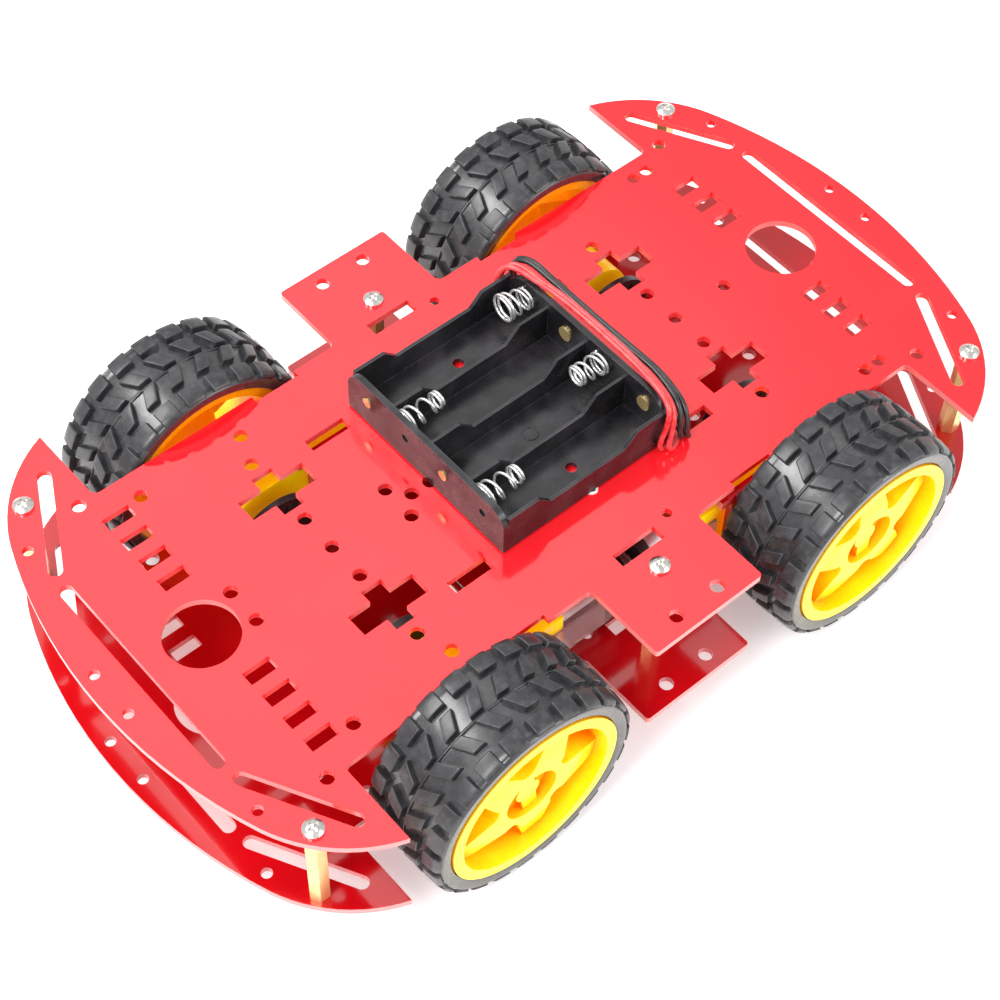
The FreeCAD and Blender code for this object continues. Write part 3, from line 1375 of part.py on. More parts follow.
def cell_springs():
    """One coil spring in each bay, at alternate ends."""
    springs = []
    wire = size("spring_wire_radius")
    length = size("spring_length")
    radius = size("spring_radius")
    helix = Part.makeHelix(length / size("spring_turns"), length, radius)
    section = Part.Wire(Part.makeCircle(wire, Vector(radius, 0, 0), Vector(0, 1, 0)))
    coil = Part.Wire(helix).makePipeShell([section], True, True)
    for number in range(4):
        front = spring_at_front(number)
        gap = wire + size("shaft_clearance")
        face = f"{HOLDER_X1} - holder_end_wall" if front else f"{HOLDER_X0} + holder_end_wall"
        wall = size(face) - gap if front else size(face) + gap
        piece = document.addObject("Part::Feature", f"spring{number}")
        piece.Shape = coil
        turn = Rotation(Vector(0, 1, 0), -90 if front else 90)
        height = size(f"{HOLDER_Z} + holder_floor + cell_radius")
        piece.Placement = FreeCAD.Placement(Vector(wall, size(bay_y(number)), height), turn)
        springs.append(piece)
    return group("cell_springs", springs)


def holder_tape():
    strips = []
    for number, side in enumerate((1, -1)):
        x = f"(holder_centre_x + {side} * tape_spacing / 2)"
        low = (f"{x} - tape_width / 2", "holder_centre_y - tape_length / 2", UPPER_TOP)
        high = (f"{x} + tape_width / 2", "holder_centre_y + tape_length / 2", HOLDER_Z)
        strips.append(box(f"tape{number}", low, high))
    return group("holder_tape", strips)


def rounded_loop(x, low_y, high_y, low_z, high_z, bend):
    """A closed path in a plane across X, with equal round corners."""
    corners = [
        (low_y, low_z, 1, 1), (high_y, low_z, -1, 1),
        (high_y, high_z, -1, -1), (low_y, high_z, 1, -1),
    ]
    edges = []
    ends = []
    for y, z, inward_y, inward_z in corners:
        along_y = Vector(x, y + inward_y * bend, z)
        along_z = Vector(x, y, z + inward_z * bend)
        shift = bend * (1 - math.sqrt(0.5))
        middle = Vector(x, y + inward_y * shift, z + inward_z * shift)
        first, last = (along_z, along_y) if inward_y == inward_z else (along_y, along_z)
        edges.append(Part.Arc(first, middle, last).toShape())
        ends.append((first, last))
    for number in range(4):
        edges.append(Part.makeLine(ends[number][1], ends[(number + 1) % 4][0]))
    return Part.Wire(Part.__sortEdges__(edges))


def lead(label, first_x, turns, spread, drop):
    """A lead wound flat against the holder's front end wall, following its rounded corners."""
    radius = size("wire_radius")
    clearance = size("shaft_clearance")
    loops = []
    for turn in range(turns):
        x = first_x + turn * (2 * radius + size("wire_gap"))
        path = rounded_loop(x, size(f"{HOLDER_Y0} - {spread}"), size(f"{HOLDER_Y1} + {spread}"),
                            size(UPPER_TOP) + radius + clearance, size(f"{HOLDER_TOP} - {drop}"),
                            size("wire_bend"))
        start = path.Edges[0]
        origin = start.valueAt(start.FirstParameter)
        heading = start.tangentAt(start.FirstParameter)
        section = Part.Wire(Part.makeCircle(radius, origin, heading))
        loops.append(path.makePipeShell([section], True, False))
    return shape_feature(label, Part.makeCompound(loops))


def leads():
    """Two turns of red lead next to the holder, then two of black lead standing wider."""
    radius = size("wire_radius")
    start = size(HOLDER_X1) + radius + size("rivet_tail") + size("shaft_clearance")
    black_start = start + 2 * (2 * radius + size("wire_gap"))
    return [lead("red_wire", start, 2, "red_lead_spread", "red_lead_drop"),
            lead("black_wire", black_start, 2, "black_lead_spread", "black_lead_drop")]


# ---------------------------------------------------------------- build, check and write
def build():
    nodes = deck_plate()
    nodes.append(standoffs())
    nodes += deck_screws()
    nodes += motor_bolts()
    nodes += brackets()
    nodes += gearbox()
    nodes.append(gearbox_screws())
    nodes.append(gear_pins())
    nodes += motor_outside()
    nodes.append(motor_strap())
    nodes.append(magnets())
    nodes += output_shaft()
    nodes += second_gear()
    nodes += crown_gear()
    nodes += rotor()
    nodes += tyre()
    nodes += rim()
    nodes += encoder_disc()
    nodes.append(battery_holder())
    nodes.append(cell_contacts())
    nodes.append(cell_springs())
    nodes.append(holder_tape())
    nodes += leads()
    return nodes


def check(nodes):
    """Stops the build on a failed feature or a bad solid."""
    faults = [item.Label for item in document.Objects if {"Invalid", "Error"} & set(item.State)]
    for node in nodes:
        shape = Part.getShape(node)
        if shape.isNull() or not shape.isValid() or not shape.Solids:
            faults.append(f"{node.Label} (no valid solid)")
    if faults:
        raise RuntimeError("failed: " + ", ".join(faults))


def write(nodes):
    os.makedirs("parts", exist_ok=True)
    for node in nodes:
        Part.getShape(node).exportStep(os.path.join("parts", f"{node.Label}.step"))


all_nodes = build()
document.recompute()
check(all_nodes)
write(all_nodes)
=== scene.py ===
"""Finished looks for the four wheel robot chassis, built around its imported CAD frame."""

import math

import bmesh
import bpy
from mathutils import Matrix, Vector


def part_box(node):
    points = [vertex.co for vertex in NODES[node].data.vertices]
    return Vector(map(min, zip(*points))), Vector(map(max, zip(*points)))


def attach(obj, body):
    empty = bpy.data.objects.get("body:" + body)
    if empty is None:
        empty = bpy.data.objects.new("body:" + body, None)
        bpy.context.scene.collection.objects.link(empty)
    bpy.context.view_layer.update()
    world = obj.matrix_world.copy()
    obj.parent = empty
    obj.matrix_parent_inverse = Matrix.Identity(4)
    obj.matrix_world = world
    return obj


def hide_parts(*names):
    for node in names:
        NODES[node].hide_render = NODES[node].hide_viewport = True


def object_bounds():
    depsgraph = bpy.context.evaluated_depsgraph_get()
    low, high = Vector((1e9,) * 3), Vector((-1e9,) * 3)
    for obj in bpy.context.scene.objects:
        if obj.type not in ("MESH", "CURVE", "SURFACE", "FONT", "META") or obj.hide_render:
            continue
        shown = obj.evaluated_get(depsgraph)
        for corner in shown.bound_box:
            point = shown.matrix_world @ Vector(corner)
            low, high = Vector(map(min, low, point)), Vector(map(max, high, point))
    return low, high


MM = 0.001
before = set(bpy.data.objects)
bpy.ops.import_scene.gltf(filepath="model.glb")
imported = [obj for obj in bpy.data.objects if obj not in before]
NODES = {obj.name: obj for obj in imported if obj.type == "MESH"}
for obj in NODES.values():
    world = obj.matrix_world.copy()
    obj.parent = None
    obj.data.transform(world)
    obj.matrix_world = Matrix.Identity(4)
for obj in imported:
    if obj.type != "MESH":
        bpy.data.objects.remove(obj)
CAD_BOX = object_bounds()
CORNERS = ("fl", "fr", "rl", "rr")


# ---------------------------------------------------------------- material building blocks
class Finish:
    """A node material with short calls for the textures that the finishes share."""

    def __init__(self, name, **settings):
        self.material = bpy.data.materials.new(name)
        self.material.use_nodes = True
        self.tree = self.material.node_tree
        self.surface = self.tree.nodes["Principled BSDF"]
        self.place = self.node("ShaderNodeTexCoord").outputs["Object"]
        self.shape = self.node("ShaderNodeNewGeometry")
        for key, value in settings.items():
            self.put(key.replace("_", " "), value)

    def node(self, kind, **values):
        item = self.tree.nodes.new(kind)
        for key, value in values.items():
            setattr(item, key, value)
        return item

    def link(self, source, socket):
        if isinstance(source, bpy.types.NodeSocket):
            self.tree.links.new(source, socket)
        elif isinstance(source, tuple) and len(source) == 3:
            socket.default_value = (*source, 1.0) if len(socket.default_value) == 4 else source
        else:
            socket.default_value = source

    def put(self, name, value):
        """Sets one input of the surface, by a value or by another node's output."""
        self.link(value, self.surface.inputs[name])

    def stretch(self, x, y, z):
        """The object's own coordinates, scaled along each axis."""
        mapping = self.node("ShaderNodeMapping")
        self.link(self.place, mapping.inputs["Vector"])
        mapping.inputs["Scale"].default_value = (x, y, z)
        return mapping.outputs["Vector"]

    def noise(self, size_mm, detail=3.0, vector=None, rough=0.55):
        item = self.node("ShaderNodeTexNoise")
        self.link(vector or self.place, item.inputs["Vector"])
        item.inputs["Scale"].default_value = 1.0 / (size_mm * MM)
        item.inputs["Detail"].default_value = detail
        item.inputs["Roughness"].default_value = rough
        return item.outputs["Fac"]

    def span(self, source, low, high, to_low=0.0, to_high=1.0):
        """Maps a range of a value to another range, clamped."""
        item = self.node("ShaderNodeMapRange")
        self.link(source, item.inputs["Value"])
        for name, number in zip(("From Min", "From Max", "To Min", "To Max"), (low, high, to_low, to_high)):
            self.link(number, item.inputs[name])
        return item.outputs["Result"]

    def math(self, operation, first, second=0.0):
        item = self.node("ShaderNodeMath", operation=operation)
        self.link(first, item.inputs[0])
        self.link(second, item.inputs[1])
        return item.outputs["Value"]

    def mix(self, share, first, second):
        item = self.node("ShaderNodeMix", data_type="RGBA")
        self.link(share, item.inputs["Factor"])
        self.link(first, item.inputs["A"])
        self.link(second, item.inputs["B"])
        return item.outputs["Result"]

    def edges(self, radius_mm, gain=6.0):
        """1 on a worn edge and 0 on a flat face."""
        bevel = self.node("ShaderNodeBevel", samples=4)
        bevel.inputs["Radius"].default_value = radius_mm * MM
        dot = self.node("ShaderNodeVectorMath", operation="DOT_PRODUCT")
        self.link(bevel.outputs["Normal"], dot.inputs[0])
        self.link(self.shape.outputs["Normal"], dot.inputs[1])
        return self.span(self.math("SUBTRACT", 1.0, dot.outputs["Value"]), 0.0, 1.0 / gain)

    def bump(self, height, depth_mm, strength=1.0, round_mm=0.0):
        """Surface relief, over edges that are shaded as slightly rounded when a radius is given."""
        item = self.node("ShaderNodeBump")
        if round_mm:
            rounded = self.node("ShaderNodeBevel", samples=2)
            rounded.inputs["Radius"].default_value = round_mm * MM
            self.link(rounded.outputs["Normal"], item.inputs["Normal"])
        self.link(height, item.inputs["Height"])
        item.inputs["Distance"].default_value = depth_mm * MM
        item.inputs["Strength"].default_value = strength
        self.put("Normal", item.outputs["Normal"])

    def hollow(self, reach_mm):
        """1 in the open and falling to 0 in recesses."""
        item = self.node("ShaderNodeAmbientOcclusion", samples=3)
        item.inputs["Distance"].default_value = reach_mm * MM
        return item.outputs["AO"]

    def upright(self):
        """1 on faces that stand upright, such as a sheet's sawn edge, and 0 on level ones."""
        parts = self.node("ShaderNodeSeparateXYZ")
        self.link(self.shape.outputs["True Normal"], parts.inputs["Vector"])
        level = self.math("ABSOLUTE", parts.outputs["Z"])
        return self.span(level, 0.75, 0.35)


# ---------------------------------------------------------------- the finishes
def red_acrylic(name, light, dark):
    """Polished cast acrylic: deep glossy faces with faint wipe marks, and sawn edges painted pale with a painted
    glow where ambient occlusion finds them open (partly the frosted edge, partly painted light), so hole walls keep
    the dark face colour as painted shade.
    """
    skin = Finish(name, IOR=1.49, Coat_Weight=0.35, Coat_Roughness=0.03)
    cloud = skin.noise(60.0, 2.0)
    face = skin.mix(skin.span(cloud, 0.35, 0.65), dark, light)
    streak = skin.noise(1.0, 2.0, skin.stretch(30, 900, 200))
    # Pale edge colour: partly the frosted sawn edge, partly painted light.
    edge = skin.mix(streak, (0.85, 0.14, 0.14), (0.97, 0.3, 0.28))
    # Painted shade: ambient occlusion keeps the pale edge colour and the glow off hole walls and recesses.
    painted_unshaded_share = skin.span(skin.hollow(7.0), 0.68, 0.92)
    lit_sawn_edge = skin.math("MULTIPLY", skin.upright(), painted_unshaded_share)
    skin.put("Base Color", skin.mix(lit_sawn_edge, face, edge))
    # Painted glow on the open sawn edges, though the acrylic is no lamp.
    skin.put("Emission Color", (1.0, 0.2, 0.2))
    skin.put("Emission Strength", skin.math("MULTIPLY", lit_sawn_edge, 0.08))
    smudge = skin.noise(18.0, 5.0)
    polish = skin.span(smudge, 0.3, 0.75, 0.07, 0.17)
    skin.put("Roughness", skin.math("ADD", polish, skin.math("MULTIPLY", lit_sawn_edge, 0.2)))
    scratch = skin.noise(1.0, 3.0, skin.stretch(18, 700, 700))
    marks = skin.math("ADD", skin.math("MULTIPLY", lit_sawn_edge, streak), skin.math("MULTIPLY", scratch, 0.04))
    skin.bump(marks, 0.02, 0.4)
    return skin.material


def brass():
    skin = Finish("brass", Metallic=0.75)
    tool_marks = skin.noise(1.0, 2.0, skin.stretch(150, 150, 3500))
    tarnish = skin.noise(5.0, 4.0)
    skin.put("Base Color", skin.mix(skin.span(tarnish, 0.35, 0.7), (0.98, 0.76, 0.36), (0.85, 0.6, 0.24)))
    skin.put("Roughness", skin.span(tool_marks, 0.3, 0.7, 0.16, 0.34))
    skin.bump(tool_marks, 0.02, 0.6)
    return skin.material


def nickel_steel():
    skin = Finish("nickel_steel", Metallic=1.0)
    blotch = skin.noise(1.6, 4.0)
    rub = skin.edges(0.2)
    plated = skin.mix(skin.span(blotch, 0.35, 0.7), (0.8, 0.78, 0.74), (0.62, 0.6, 0.57))
    skin.put("Base Color", skin.mix(rub, plated, (0.95, 0.94, 0.92)))
    skin.put("Roughness", skin.span(skin.noise(0.5, 3.0), 0.3, 0.7, 0.15, 0.32))
    skin.bump(blotch, 0.02, 0.4)
    return skin.material


def yellow_plastic(name, deep_y, open_y, glow):
    """Glossy moulded plastic painted orange as shade in its recesses and, on a wheel, behind its web, with a painted
    glow.
    """
    skin = Finish(name, IOR=1.5)
    parts = skin.node("ShaderNodeSeparateXYZ")
    skin.link(skin.place, parts.inputs["Vector"])
    side = skin.math("ABSOLUTE", parts.outputs["Y"])
    # Painted shade by depth along the axle: full colour beyond open_y, orange towards deep_y and inwards of it.
    in_front = skin.span(side, deep_y * MM, open_y * MM, 0.15, 1.0)
    # Painted shade: ambient occlusion darkens recesses to orange.
    painted_unshaded_share = skin.math("MINIMUM", skin.span(skin.hollow(9.0), 0.3, 0.8), in_front)
    flow = skin.noise(14.0, 3.0)
    pale = skin.mix(skin.span(flow, 0.35, 0.65), (1.0, 0.83, 0.004), (1.0, 0.88, 0.012))
    skin.put("Base Color", skin.mix(painted_unshaded_share, (0.95, 0.3, 0.0), pale))
    # Painted glow, orange in the painted shade and yellow in the open, though the plastic is no lamp.
    skin.put("Emission Color", skin.mix(painted_unshaded_share, (1.0, 0.25, 0.0), (1.0, 0.85, 0.0)))
    skin.put("Emission Strength", glow)
    skin.put("Roughness", skin.span(skin.noise(6.0, 3.0), 0.3, 0.7, 0.22, 0.34))
    skin.bump(skin.noise(0.5, 2.0), 0.003, 0.4)
    return skin.material


def can_steel():
    skin = Finish("can_steel", Metallic=1.0)
    drawn = skin.noise(1.0, 3.0, skin.stretch(60, 1800, 1800))
    skin.put("Base Color", skin.mix(skin.span(skin.noise(4.0), 0.35, 0.7), (0.66, 0.66, 0.66), (0.48, 0.48, 0.49)))
    skin.put("Roughness", skin.span(drawn, 0.3, 0.7, 0.22, 0.42))
    skin.bump(drawn, 0.03, 0.6)
    return skin.material


def dark_plastic(name, colour, worn, polish=(0.3, 0.5)):
    """Black moulded plastic: fine spark grain, worn pale at its edges, faint sink marks."""
    skin = Finish(name, IOR=1.5)
    wear = skin.math("MULTIPLY", skin.edges(0.35, 5.0), skin.span(skin.noise(3.0, 4.0), 0.35, 0.6, 0.25, 1.0))
    dust = skin.span(skin.noise(9.0, 5.0), 0.45, 0.8, 0.0, 0.35)
    skin.put("Base Color", skin.mix(wear, skin.mix(dust, colour, worn), worn))
    skin.put("Roughness", skin.span(skin.noise(6.0, 5.0), 0.3, 0.7, *polish))
    grain = skin.noise(0.3, 3.0)
    skin.bump(skin.math("ADD", grain, skin.math("MULTIPLY", skin.noise(7.0, 1.0), 2.0)), 0.03, 0.5)
    return skin.material


def clear_plastic():
    skin = Finish("clear_plastic", IOR=1.46, Transmission_Weight=0.85)
    cloud = skin.noise(5.0, 3.0)
    skin.put("Base Color", skin.mix(cloud, (0.95, 0.86, 0.86), (0.86, 0.74, 0.74)))
    skin.put("Roughness", skin.span(cloud, 0.3, 0.7, 0.08, 0.25))
    skin.bump(skin.noise(1.2, 3.0), 0.03, 0.4)
    return skin.material


def magnet():
    skin = Finish("magnet", Metallic=0.3)
    grain = skin.noise(0.4, 4.0)
    skin.put("Base Color", skin.mix(grain, (0.06, 0.06, 0.065), (0.14, 0.14, 0.15)))
    skin.put("Roughness", skin.span(grain, 0.3, 0.7, 0.5, 0.75))
    skin.bump(grain, 0.05, 0.6)
    return skin.material


def spring_steel():
    skin = Finish("spring_steel", Metallic=0.75)
    draw = skin.noise(0.6, 3.0)
    skin.put("Base Color", skin.mix(draw, (0.97, 0.97, 0.96), (0.84, 0.84, 0.85)))
    skin.put("Roughness", skin.span(draw, 0.3, 0.7, 0.16, 0.3))
    skin.bump(draw, 0.01, 0.4)
    return skin.material


def foam_tape():
    skin = Finish("foam_tape", Roughness=0.9)
    cells = skin.node("ShaderNodeTexVoronoi")
    cells.inputs["Scale"].default_value = 2600.0
    skin.link(skin.place, cells.inputs["Vector"])
    skin.put("Base Color", skin.mix(cells.outputs["Distance"], (0.72, 0.72, 0.7), (0.94, 0.94, 0.92)))
    skin.bump(cells.outputs["Distance"], 0.15, 0.8)
    return skin.material


def insulation(name, colour, shade, sheen):
    """Soft wire insulation, slightly scuffed."""
    skin = Finish(name, IOR=1.5, Coat_Weight=sheen, Coat_Roughness=0.2)
    scuff = skin.noise(2.5, 4.0)
    skin.put("Base Color", skin.mix(skin.span(scuff, 0.35, 0.7), colour, shade))
    skin.put("Roughness", skin.span(scuff, 0.3, 0.7, 0.28, 0.45))
    skin.bump(skin.noise(0.8, 3.0), 0.03, 0.4)
    return skin.material


def tyre_rubber(name, colour, dusty, polish, sheen):
    """Moulded rubber: scuffed and dusty on its edges, with an oily sheen."""
    skin = Finish(name, IOR=1.5, Coat_Weight=sheen, Coat_Roughness=0.22)
    scuff = skin.span(skin.noise(2.2, 5.0), 0.45, 0.75)
    rub = skin.math("MULTIPLY", skin.edges(0.4, 5.0), 0.7)
    skin.put("Base Color", skin.mix(skin.math("MAXIMUM", skin.math("MULTIPLY", scuff, 0.45), rub), colour, dusty))
    skin.put("Roughness", skin.span(skin.noise(5.0, 4.0), 0.3, 0.7, *polish))
    grain = skin.noise(0.35, 4.0)
    skin.bump(skin.math("ADD", grain, skin.noise(1.8, 3.0)), 0.05, 0.6)
    return skin.material


def white_plastic():
    skin = Finish("white_plastic", IOR=1.5, Subsurface_Weight=0.1, Subsurface_Scale=0.001)
    tint = skin.noise(3.0, 3.0)
    skin.put("Base Color", skin.mix(tint, (0.9, 0.89, 0.85), (0.8, 0.79, 0.74)))
    skin.put("Roughness", skin.span(tint, 0.3, 0.7, 0.35, 0.5))
    skin.bump(skin.noise(0.4, 3.0), 0.03, 0.5)
    return skin.material


def rotor_steel():
    """Steel laminations across the shaft with copper between them."""
    skin = Finish("rotor_steel", Metallic=1.0)
    layers = skin.node("ShaderNodeTexWave", bands_direction="X")
    layers.inputs["Scale"].default_value = 320.0
    skin.link(skin.place, layers.inputs["Vector"])
    skin.put("Base Color", skin.mix(layers.outputs["Fac"], (0.55, 0.52, 0.5), (0.62, 0.33, 0.2)))
    skin.put("Roughness", skin.span(skin.noise(1.0), 0.3, 0.7, 0.25, 0.45))
    skin.bump(layers.outputs["Fac"], 0.05, 0.6)
    return skin.material


FINISHES = {
    "red_acrylic": red_acrylic("red_acrylic", (0.97, 0.014, 0.022), (0.9, 0.01, 0.018)),
    # Painted shade: a darker copy of the same acrylic for the lower plate and the brackets under the deck.
    "red_acrylic_painted_shade": red_acrylic("red_acrylic_painted_shade", (0.5, 0.003, 0.007), (0.42, 0.002, 0.005)),
    "brass": brass(),
    "nickel_steel": nickel_steel(),
    # The gearbox copy carries more painted glow to lighten it in the deck's shade; the rim copy paints shade behind
    # its web.
    "yellow_plastic": yellow_plastic("yellow_plastic", 0.0, 20.0, 0.3),
    "rim_plastic": yellow_plastic("rim_plastic", 71.0, 76.0, 0.1),
    "can_steel": can_steel(),
    "black_plastic": dark_plastic("black_plastic", (0.012, 0.012, 0.013), (0.09, 0.09, 0.09)),
    "clear_plastic": clear_plastic(),
    "magnet": magnet(),
    "holder_plastic": dark_plastic("holder_plastic", (0.011, 0.01, 0.012), (0.11, 0.1, 0.11), (0.2, 0.36)),
    "spring_steel": spring_steel(),
    "foam_tape": foam_tape(),
    "red_insulation": insulation("red_insulation", (0.72, 0.02, 0.03), (0.9, 0.1, 0.1), 0.5),
    "black_insulation": insulation("black_insulation", (0.012, 0.012, 0.013), (0.04, 0.04, 0.042), 0.3),
    "tyre": tyre_rubber("tyre", (0.022, 0.022, 0.025), (0.1, 0.1, 0.105), (0.3, 0.46), 0.25),
    "white_plastic": white_plastic(),
    "rotor_steel": rotor_steel(),
}
TYRE_BODY = tyre_rubber("tyre_body", (0.024, 0.024, 0.027), (0.09, 0.09, 0.095), (0.2, 0.34), 0.6)


# ---------------------------------------------------------------- CAD pieces that stay as they are
SLOTS = {
    "top_plate": "red_acrylic",
    "bottom_plate": "red_acrylic_painted_shade",
    "standoffs": "brass",
    "cell_contacts": "brass",
    "top_screws": "nickel_steel",
    "bottom_screws": "nickel_steel",
    "motor_bolts": "nickel_steel",
    "motor_nuts": "nickel_steel",
    "gearbox_screws": "nickel_steel",
    "gear_pins": "nickel_steel",
    "motor_terminals": "brass",
    "inner_brackets": "red_acrylic_painted_shade",
    "outer_brackets": "red_acrylic_painted_shade",
    "gearbox_inner_shells": "yellow_plastic",
    "gearbox_outer_shells": "yellow_plastic",
    "motor_cans": "can_steel",
    "motor_end_caps": "black_plastic",
    "motor_straps": "clear_plastic",
    "motor_magnets": "magnet",
    "battery_holder": "holder_plastic",
    "cell_springs": "spring_steel",
    "holder_tape": "foam_tape",
    "red_wire": "red_insulation",
    "black_wire": "black_insulation",
    "tyre": "tyre",
    "wheel_rim": "rim_plastic",
    "output_shaft": "white_plastic",
    "encoder_disc": "black_plastic",
    "second_gear": "white_plastic",
    "crown_gear": "white_plastic",
    "rotor": "rotor_steel",
}


def kind_of(node):
    """A node's name without its corner."""
    stem, _, tail = node.rpartition("_")
    return stem if tail in CORNERS else node


def soften(piece, width_mm, segments=2):
    """Rounds the sharp edges of a piece and shades the rest smooth."""
    bevel = piece.modifiers.new("edge", "BEVEL")
    bevel.width = width_mm * MM
    bevel.segments = segments
    bevel.limit_method = "ANGLE"
    bevel.angle_limit = math.radians(35)
    bevel.use_clamp_overlap = True
    normals = piece.modifiers.new("normals", "WEIGHTED_NORMAL")
    normals.keep_sharp = True


def paint(piece, slot):
    piece.data.materials.clear()
    piece.data.materials.append(FINISHES[slot])


def dress_cad_nodes():
    for name, piece in NODES.items():
        kind = kind_of(name)
        paint(piece, SLOTS[kind])


# ---------------------------------------------------------------- tyres
LOW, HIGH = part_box("tyre_rr")
TYRE_RADIUS = (HIGH.z - LOW.z) / 2
TYRE_HALF = (HIGH.y - LOW.y) / 2
AXLE_HEIGHT = (HIGH.z + LOW.z) / 2
CROWN_DROP = 0.7 * MM
SHOULDER = 2.0 * MM
FLAT_HALF = TYRE_HALF - SHOULDER
CROWN = (FLAT_HALF ** 2 + CROWN_DROP ** 2) / (2 * CROWN_DROP)
CROWN_REACH = CROWN * math.asin(FLAT_HALF / CROWN)
LIP_RADIUS = 26.4 * MM
GROOVE = 1.9 * MM
REPEATS = 24
PITCH = 2 * math.pi / REPEATS


def tread_point(along, depth):
    """Side offset and radius of a point at a distance along the tyre's outline, sunk by a depth."""
    side = math.copysign(1.0, along)
    reach = abs(along)
    if reach <= CROWN_REACH:
        angle = reach / CROWN
        y = (CROWN - depth) * math.sin(angle)
        radius = TYRE_RADIUS - CROWN + (CROWN - depth) * math.cos(angle)
        return side * y, radius
    turn = min((reach - CROWN_REACH) / SHOULDER, math.pi / 2)
    y = FLAT_HALF + (SHOULDER - depth) * math.sin(turn)
    radius = TYRE_RADIUS - CROWN_DROP - SHOULDER + (SHOULDER - depth) * math.cos(turn)
    return side * y, radius


def groove_depth(along):
    """The tread is deepest on the crown and runs out down the sidewall."""
    past = max(abs(along) - CROWN_REACH, 0.0) / (SHOULDER * math.pi / 2)
    return GROOVE * (1.0 - 0.85 * min(past, 1.0))


def on_wheel(angle, side, radius):
    """Wheel coordinates: the angle runs from the top towards the rear, the side is outwards."""
    return Vector((-radius * math.sin(angle), -side, radius * math.cos(angle)))


def add_lug(shape, first, last, start, slant, width, columns=3, rows=5):
    """One tread block between two distances along the outline; its far end is shifted by the slant."""
    tops, feet = [], []
    for row in range(rows + 1):
        share = row / rows
        along = first + (last - first) * share
        line_top, line_foot = [], []
        for column in range(columns + 1):
            across = column / columns
            angle = (start + slant * share + width * across) / TYRE_RADIUS
            side, radius = tread_point(along, 0.0)
            line_top.append(shape.verts.new(on_wheel(angle, side, radius)))
            spread = 0.22 * MM
            flare_angle = angle + spread * (2 * across - 1) / TYRE_RADIUS
            flare_along = along + spread * (2 * share - 1) * math.copysign(1.0, last - first)
            side, radius = tread_point(flare_along, groove_depth(along) + 0.15 * MM)
            line_foot.append(shape.verts.new(on_wheel(flare_angle, side, radius)))
        tops.append(line_top)
        feet.append(line_foot)
    for row in range(rows):
        for column in range(columns):
            shape.faces.new((tops[row][column], tops[row][column + 1],
                             tops[row + 1][column + 1], tops[row + 1][column]))
    rim_top = tops[0] + [line[-1] for line in tops[1:]] + tops[-1][-2::-1] + [line[0] for line in tops[-2:0:-1]]
    rim_foot = feet[0] + [line[-1] for line in feet[1:]] + feet[-1][-2::-1] + [line[0] for line in feet[-2:0:-1]]
    count = len(rim_top)
    for index in range(count):
        following = (index + 1) % count
        shape.faces.new((rim_top[index], rim_top[following], rim_foot[following], rim_foot[index]))


def tread_mesh():
    """All the blocks of the tread, repeated round the tyre."""
    shape = bmesh.new()
    wrap = CROWN_REACH + SHOULDER * 1.15
    for number in range(REPEATS):
        base = number * PITCH * TYRE_RADIUS
        for first, last, start, slant, width in (
            (-8.3 * MM, -wrap, -5.3 * MM, 0.0, 5.7 * MM),
            (-6.2 * MM, -0.9 * MM, -5.7 * MM, 2.9 * MM, 3.95 * MM),
            (0.7 * MM, 6.2 * MM, -3.0 * MM, -3.1 * MM, 3.95 * MM),
            (8.3 * MM, wrap, -5.3 * MM, 0.0, 5.8 * MM),
        ):
            add_lug(shape, first, last, base + start, slant, width)
    bmesh.ops.recalc_face_normals(shape, faces=shape.faces)
    mesh = bpy.data.meshes.new("tread")
    shape.to_mesh(mesh)
    shape.free()
    for face in mesh.polygons:
        face.use_smooth = True
    return mesh


def spun(profile, steps, name):
    """A closed profile of (side, radius) pairs, turned round the axle."""
    shape = bmesh.new()
    rings = []
    for step in range(steps):
        angle = 2 * math.pi * step / steps
        rings.append([shape.verts.new(on_wheel(angle, side, radius)) for side, radius in profile])
    for step in range(steps):
        ring, following = rings[step], rings[(step + 1) % steps]
        for index in range(len(profile)):
            after = (index + 1) % len(profile)
            shape.faces.new((ring[index], ring[after], following[after], following[index]))
    bmesh.ops.recalc_face_normals(shape, faces=shape.faces)
    mesh = bpy.data.meshes.new(name)
    shape.to_mesh(mesh)
    shape.free()
    for face in mesh.polygons:
        face.use_smooth = True
    return mesh


def carcass_profile():
    """The tyre's body under the blocks: crown, parting ridge, shoulders, sidewalls and bead."""
    limit = CROWN_REACH + SHOULDER * math.pi / 2
    steps = 26
    outline = []
    for index in range(steps + 1):
        along = limit * (2 * index / steps - 1)
        outline.append(tread_point(along, groove_depth(along)))
    ridge_half, ridge_height = 0.3 * MM, 0.55 * MM
    middle = steps // 2
    side, radius = outline[middle]
    outline[middle:middle + 1] = [
        (-ridge_half * 1.6, radius),
        (-ridge_half * 0.6, radius + ridge_height),
        (ridge_half * 0.6, radius + ridge_height),
        (ridge_half * 1.6, radius),
    ]
    wall = outline[-1][0]
    ring_radius = LIP_RADIUS + 1.1 * MM
    bead = [(wall + 0.05 * MM, outline[-1][1] - 0.5 * MM), (wall - 0.1 * MM, ring_radius),
            (TYRE_HALF - 0.75 * MM, LIP_RADIUS + 0.25 * MM), (TYRE_HALF - 1.3 * MM, LIP_RADIUS)]
    inside = [(-side, radius) for side, radius in reversed(bead)]
    return outline + bead + inside


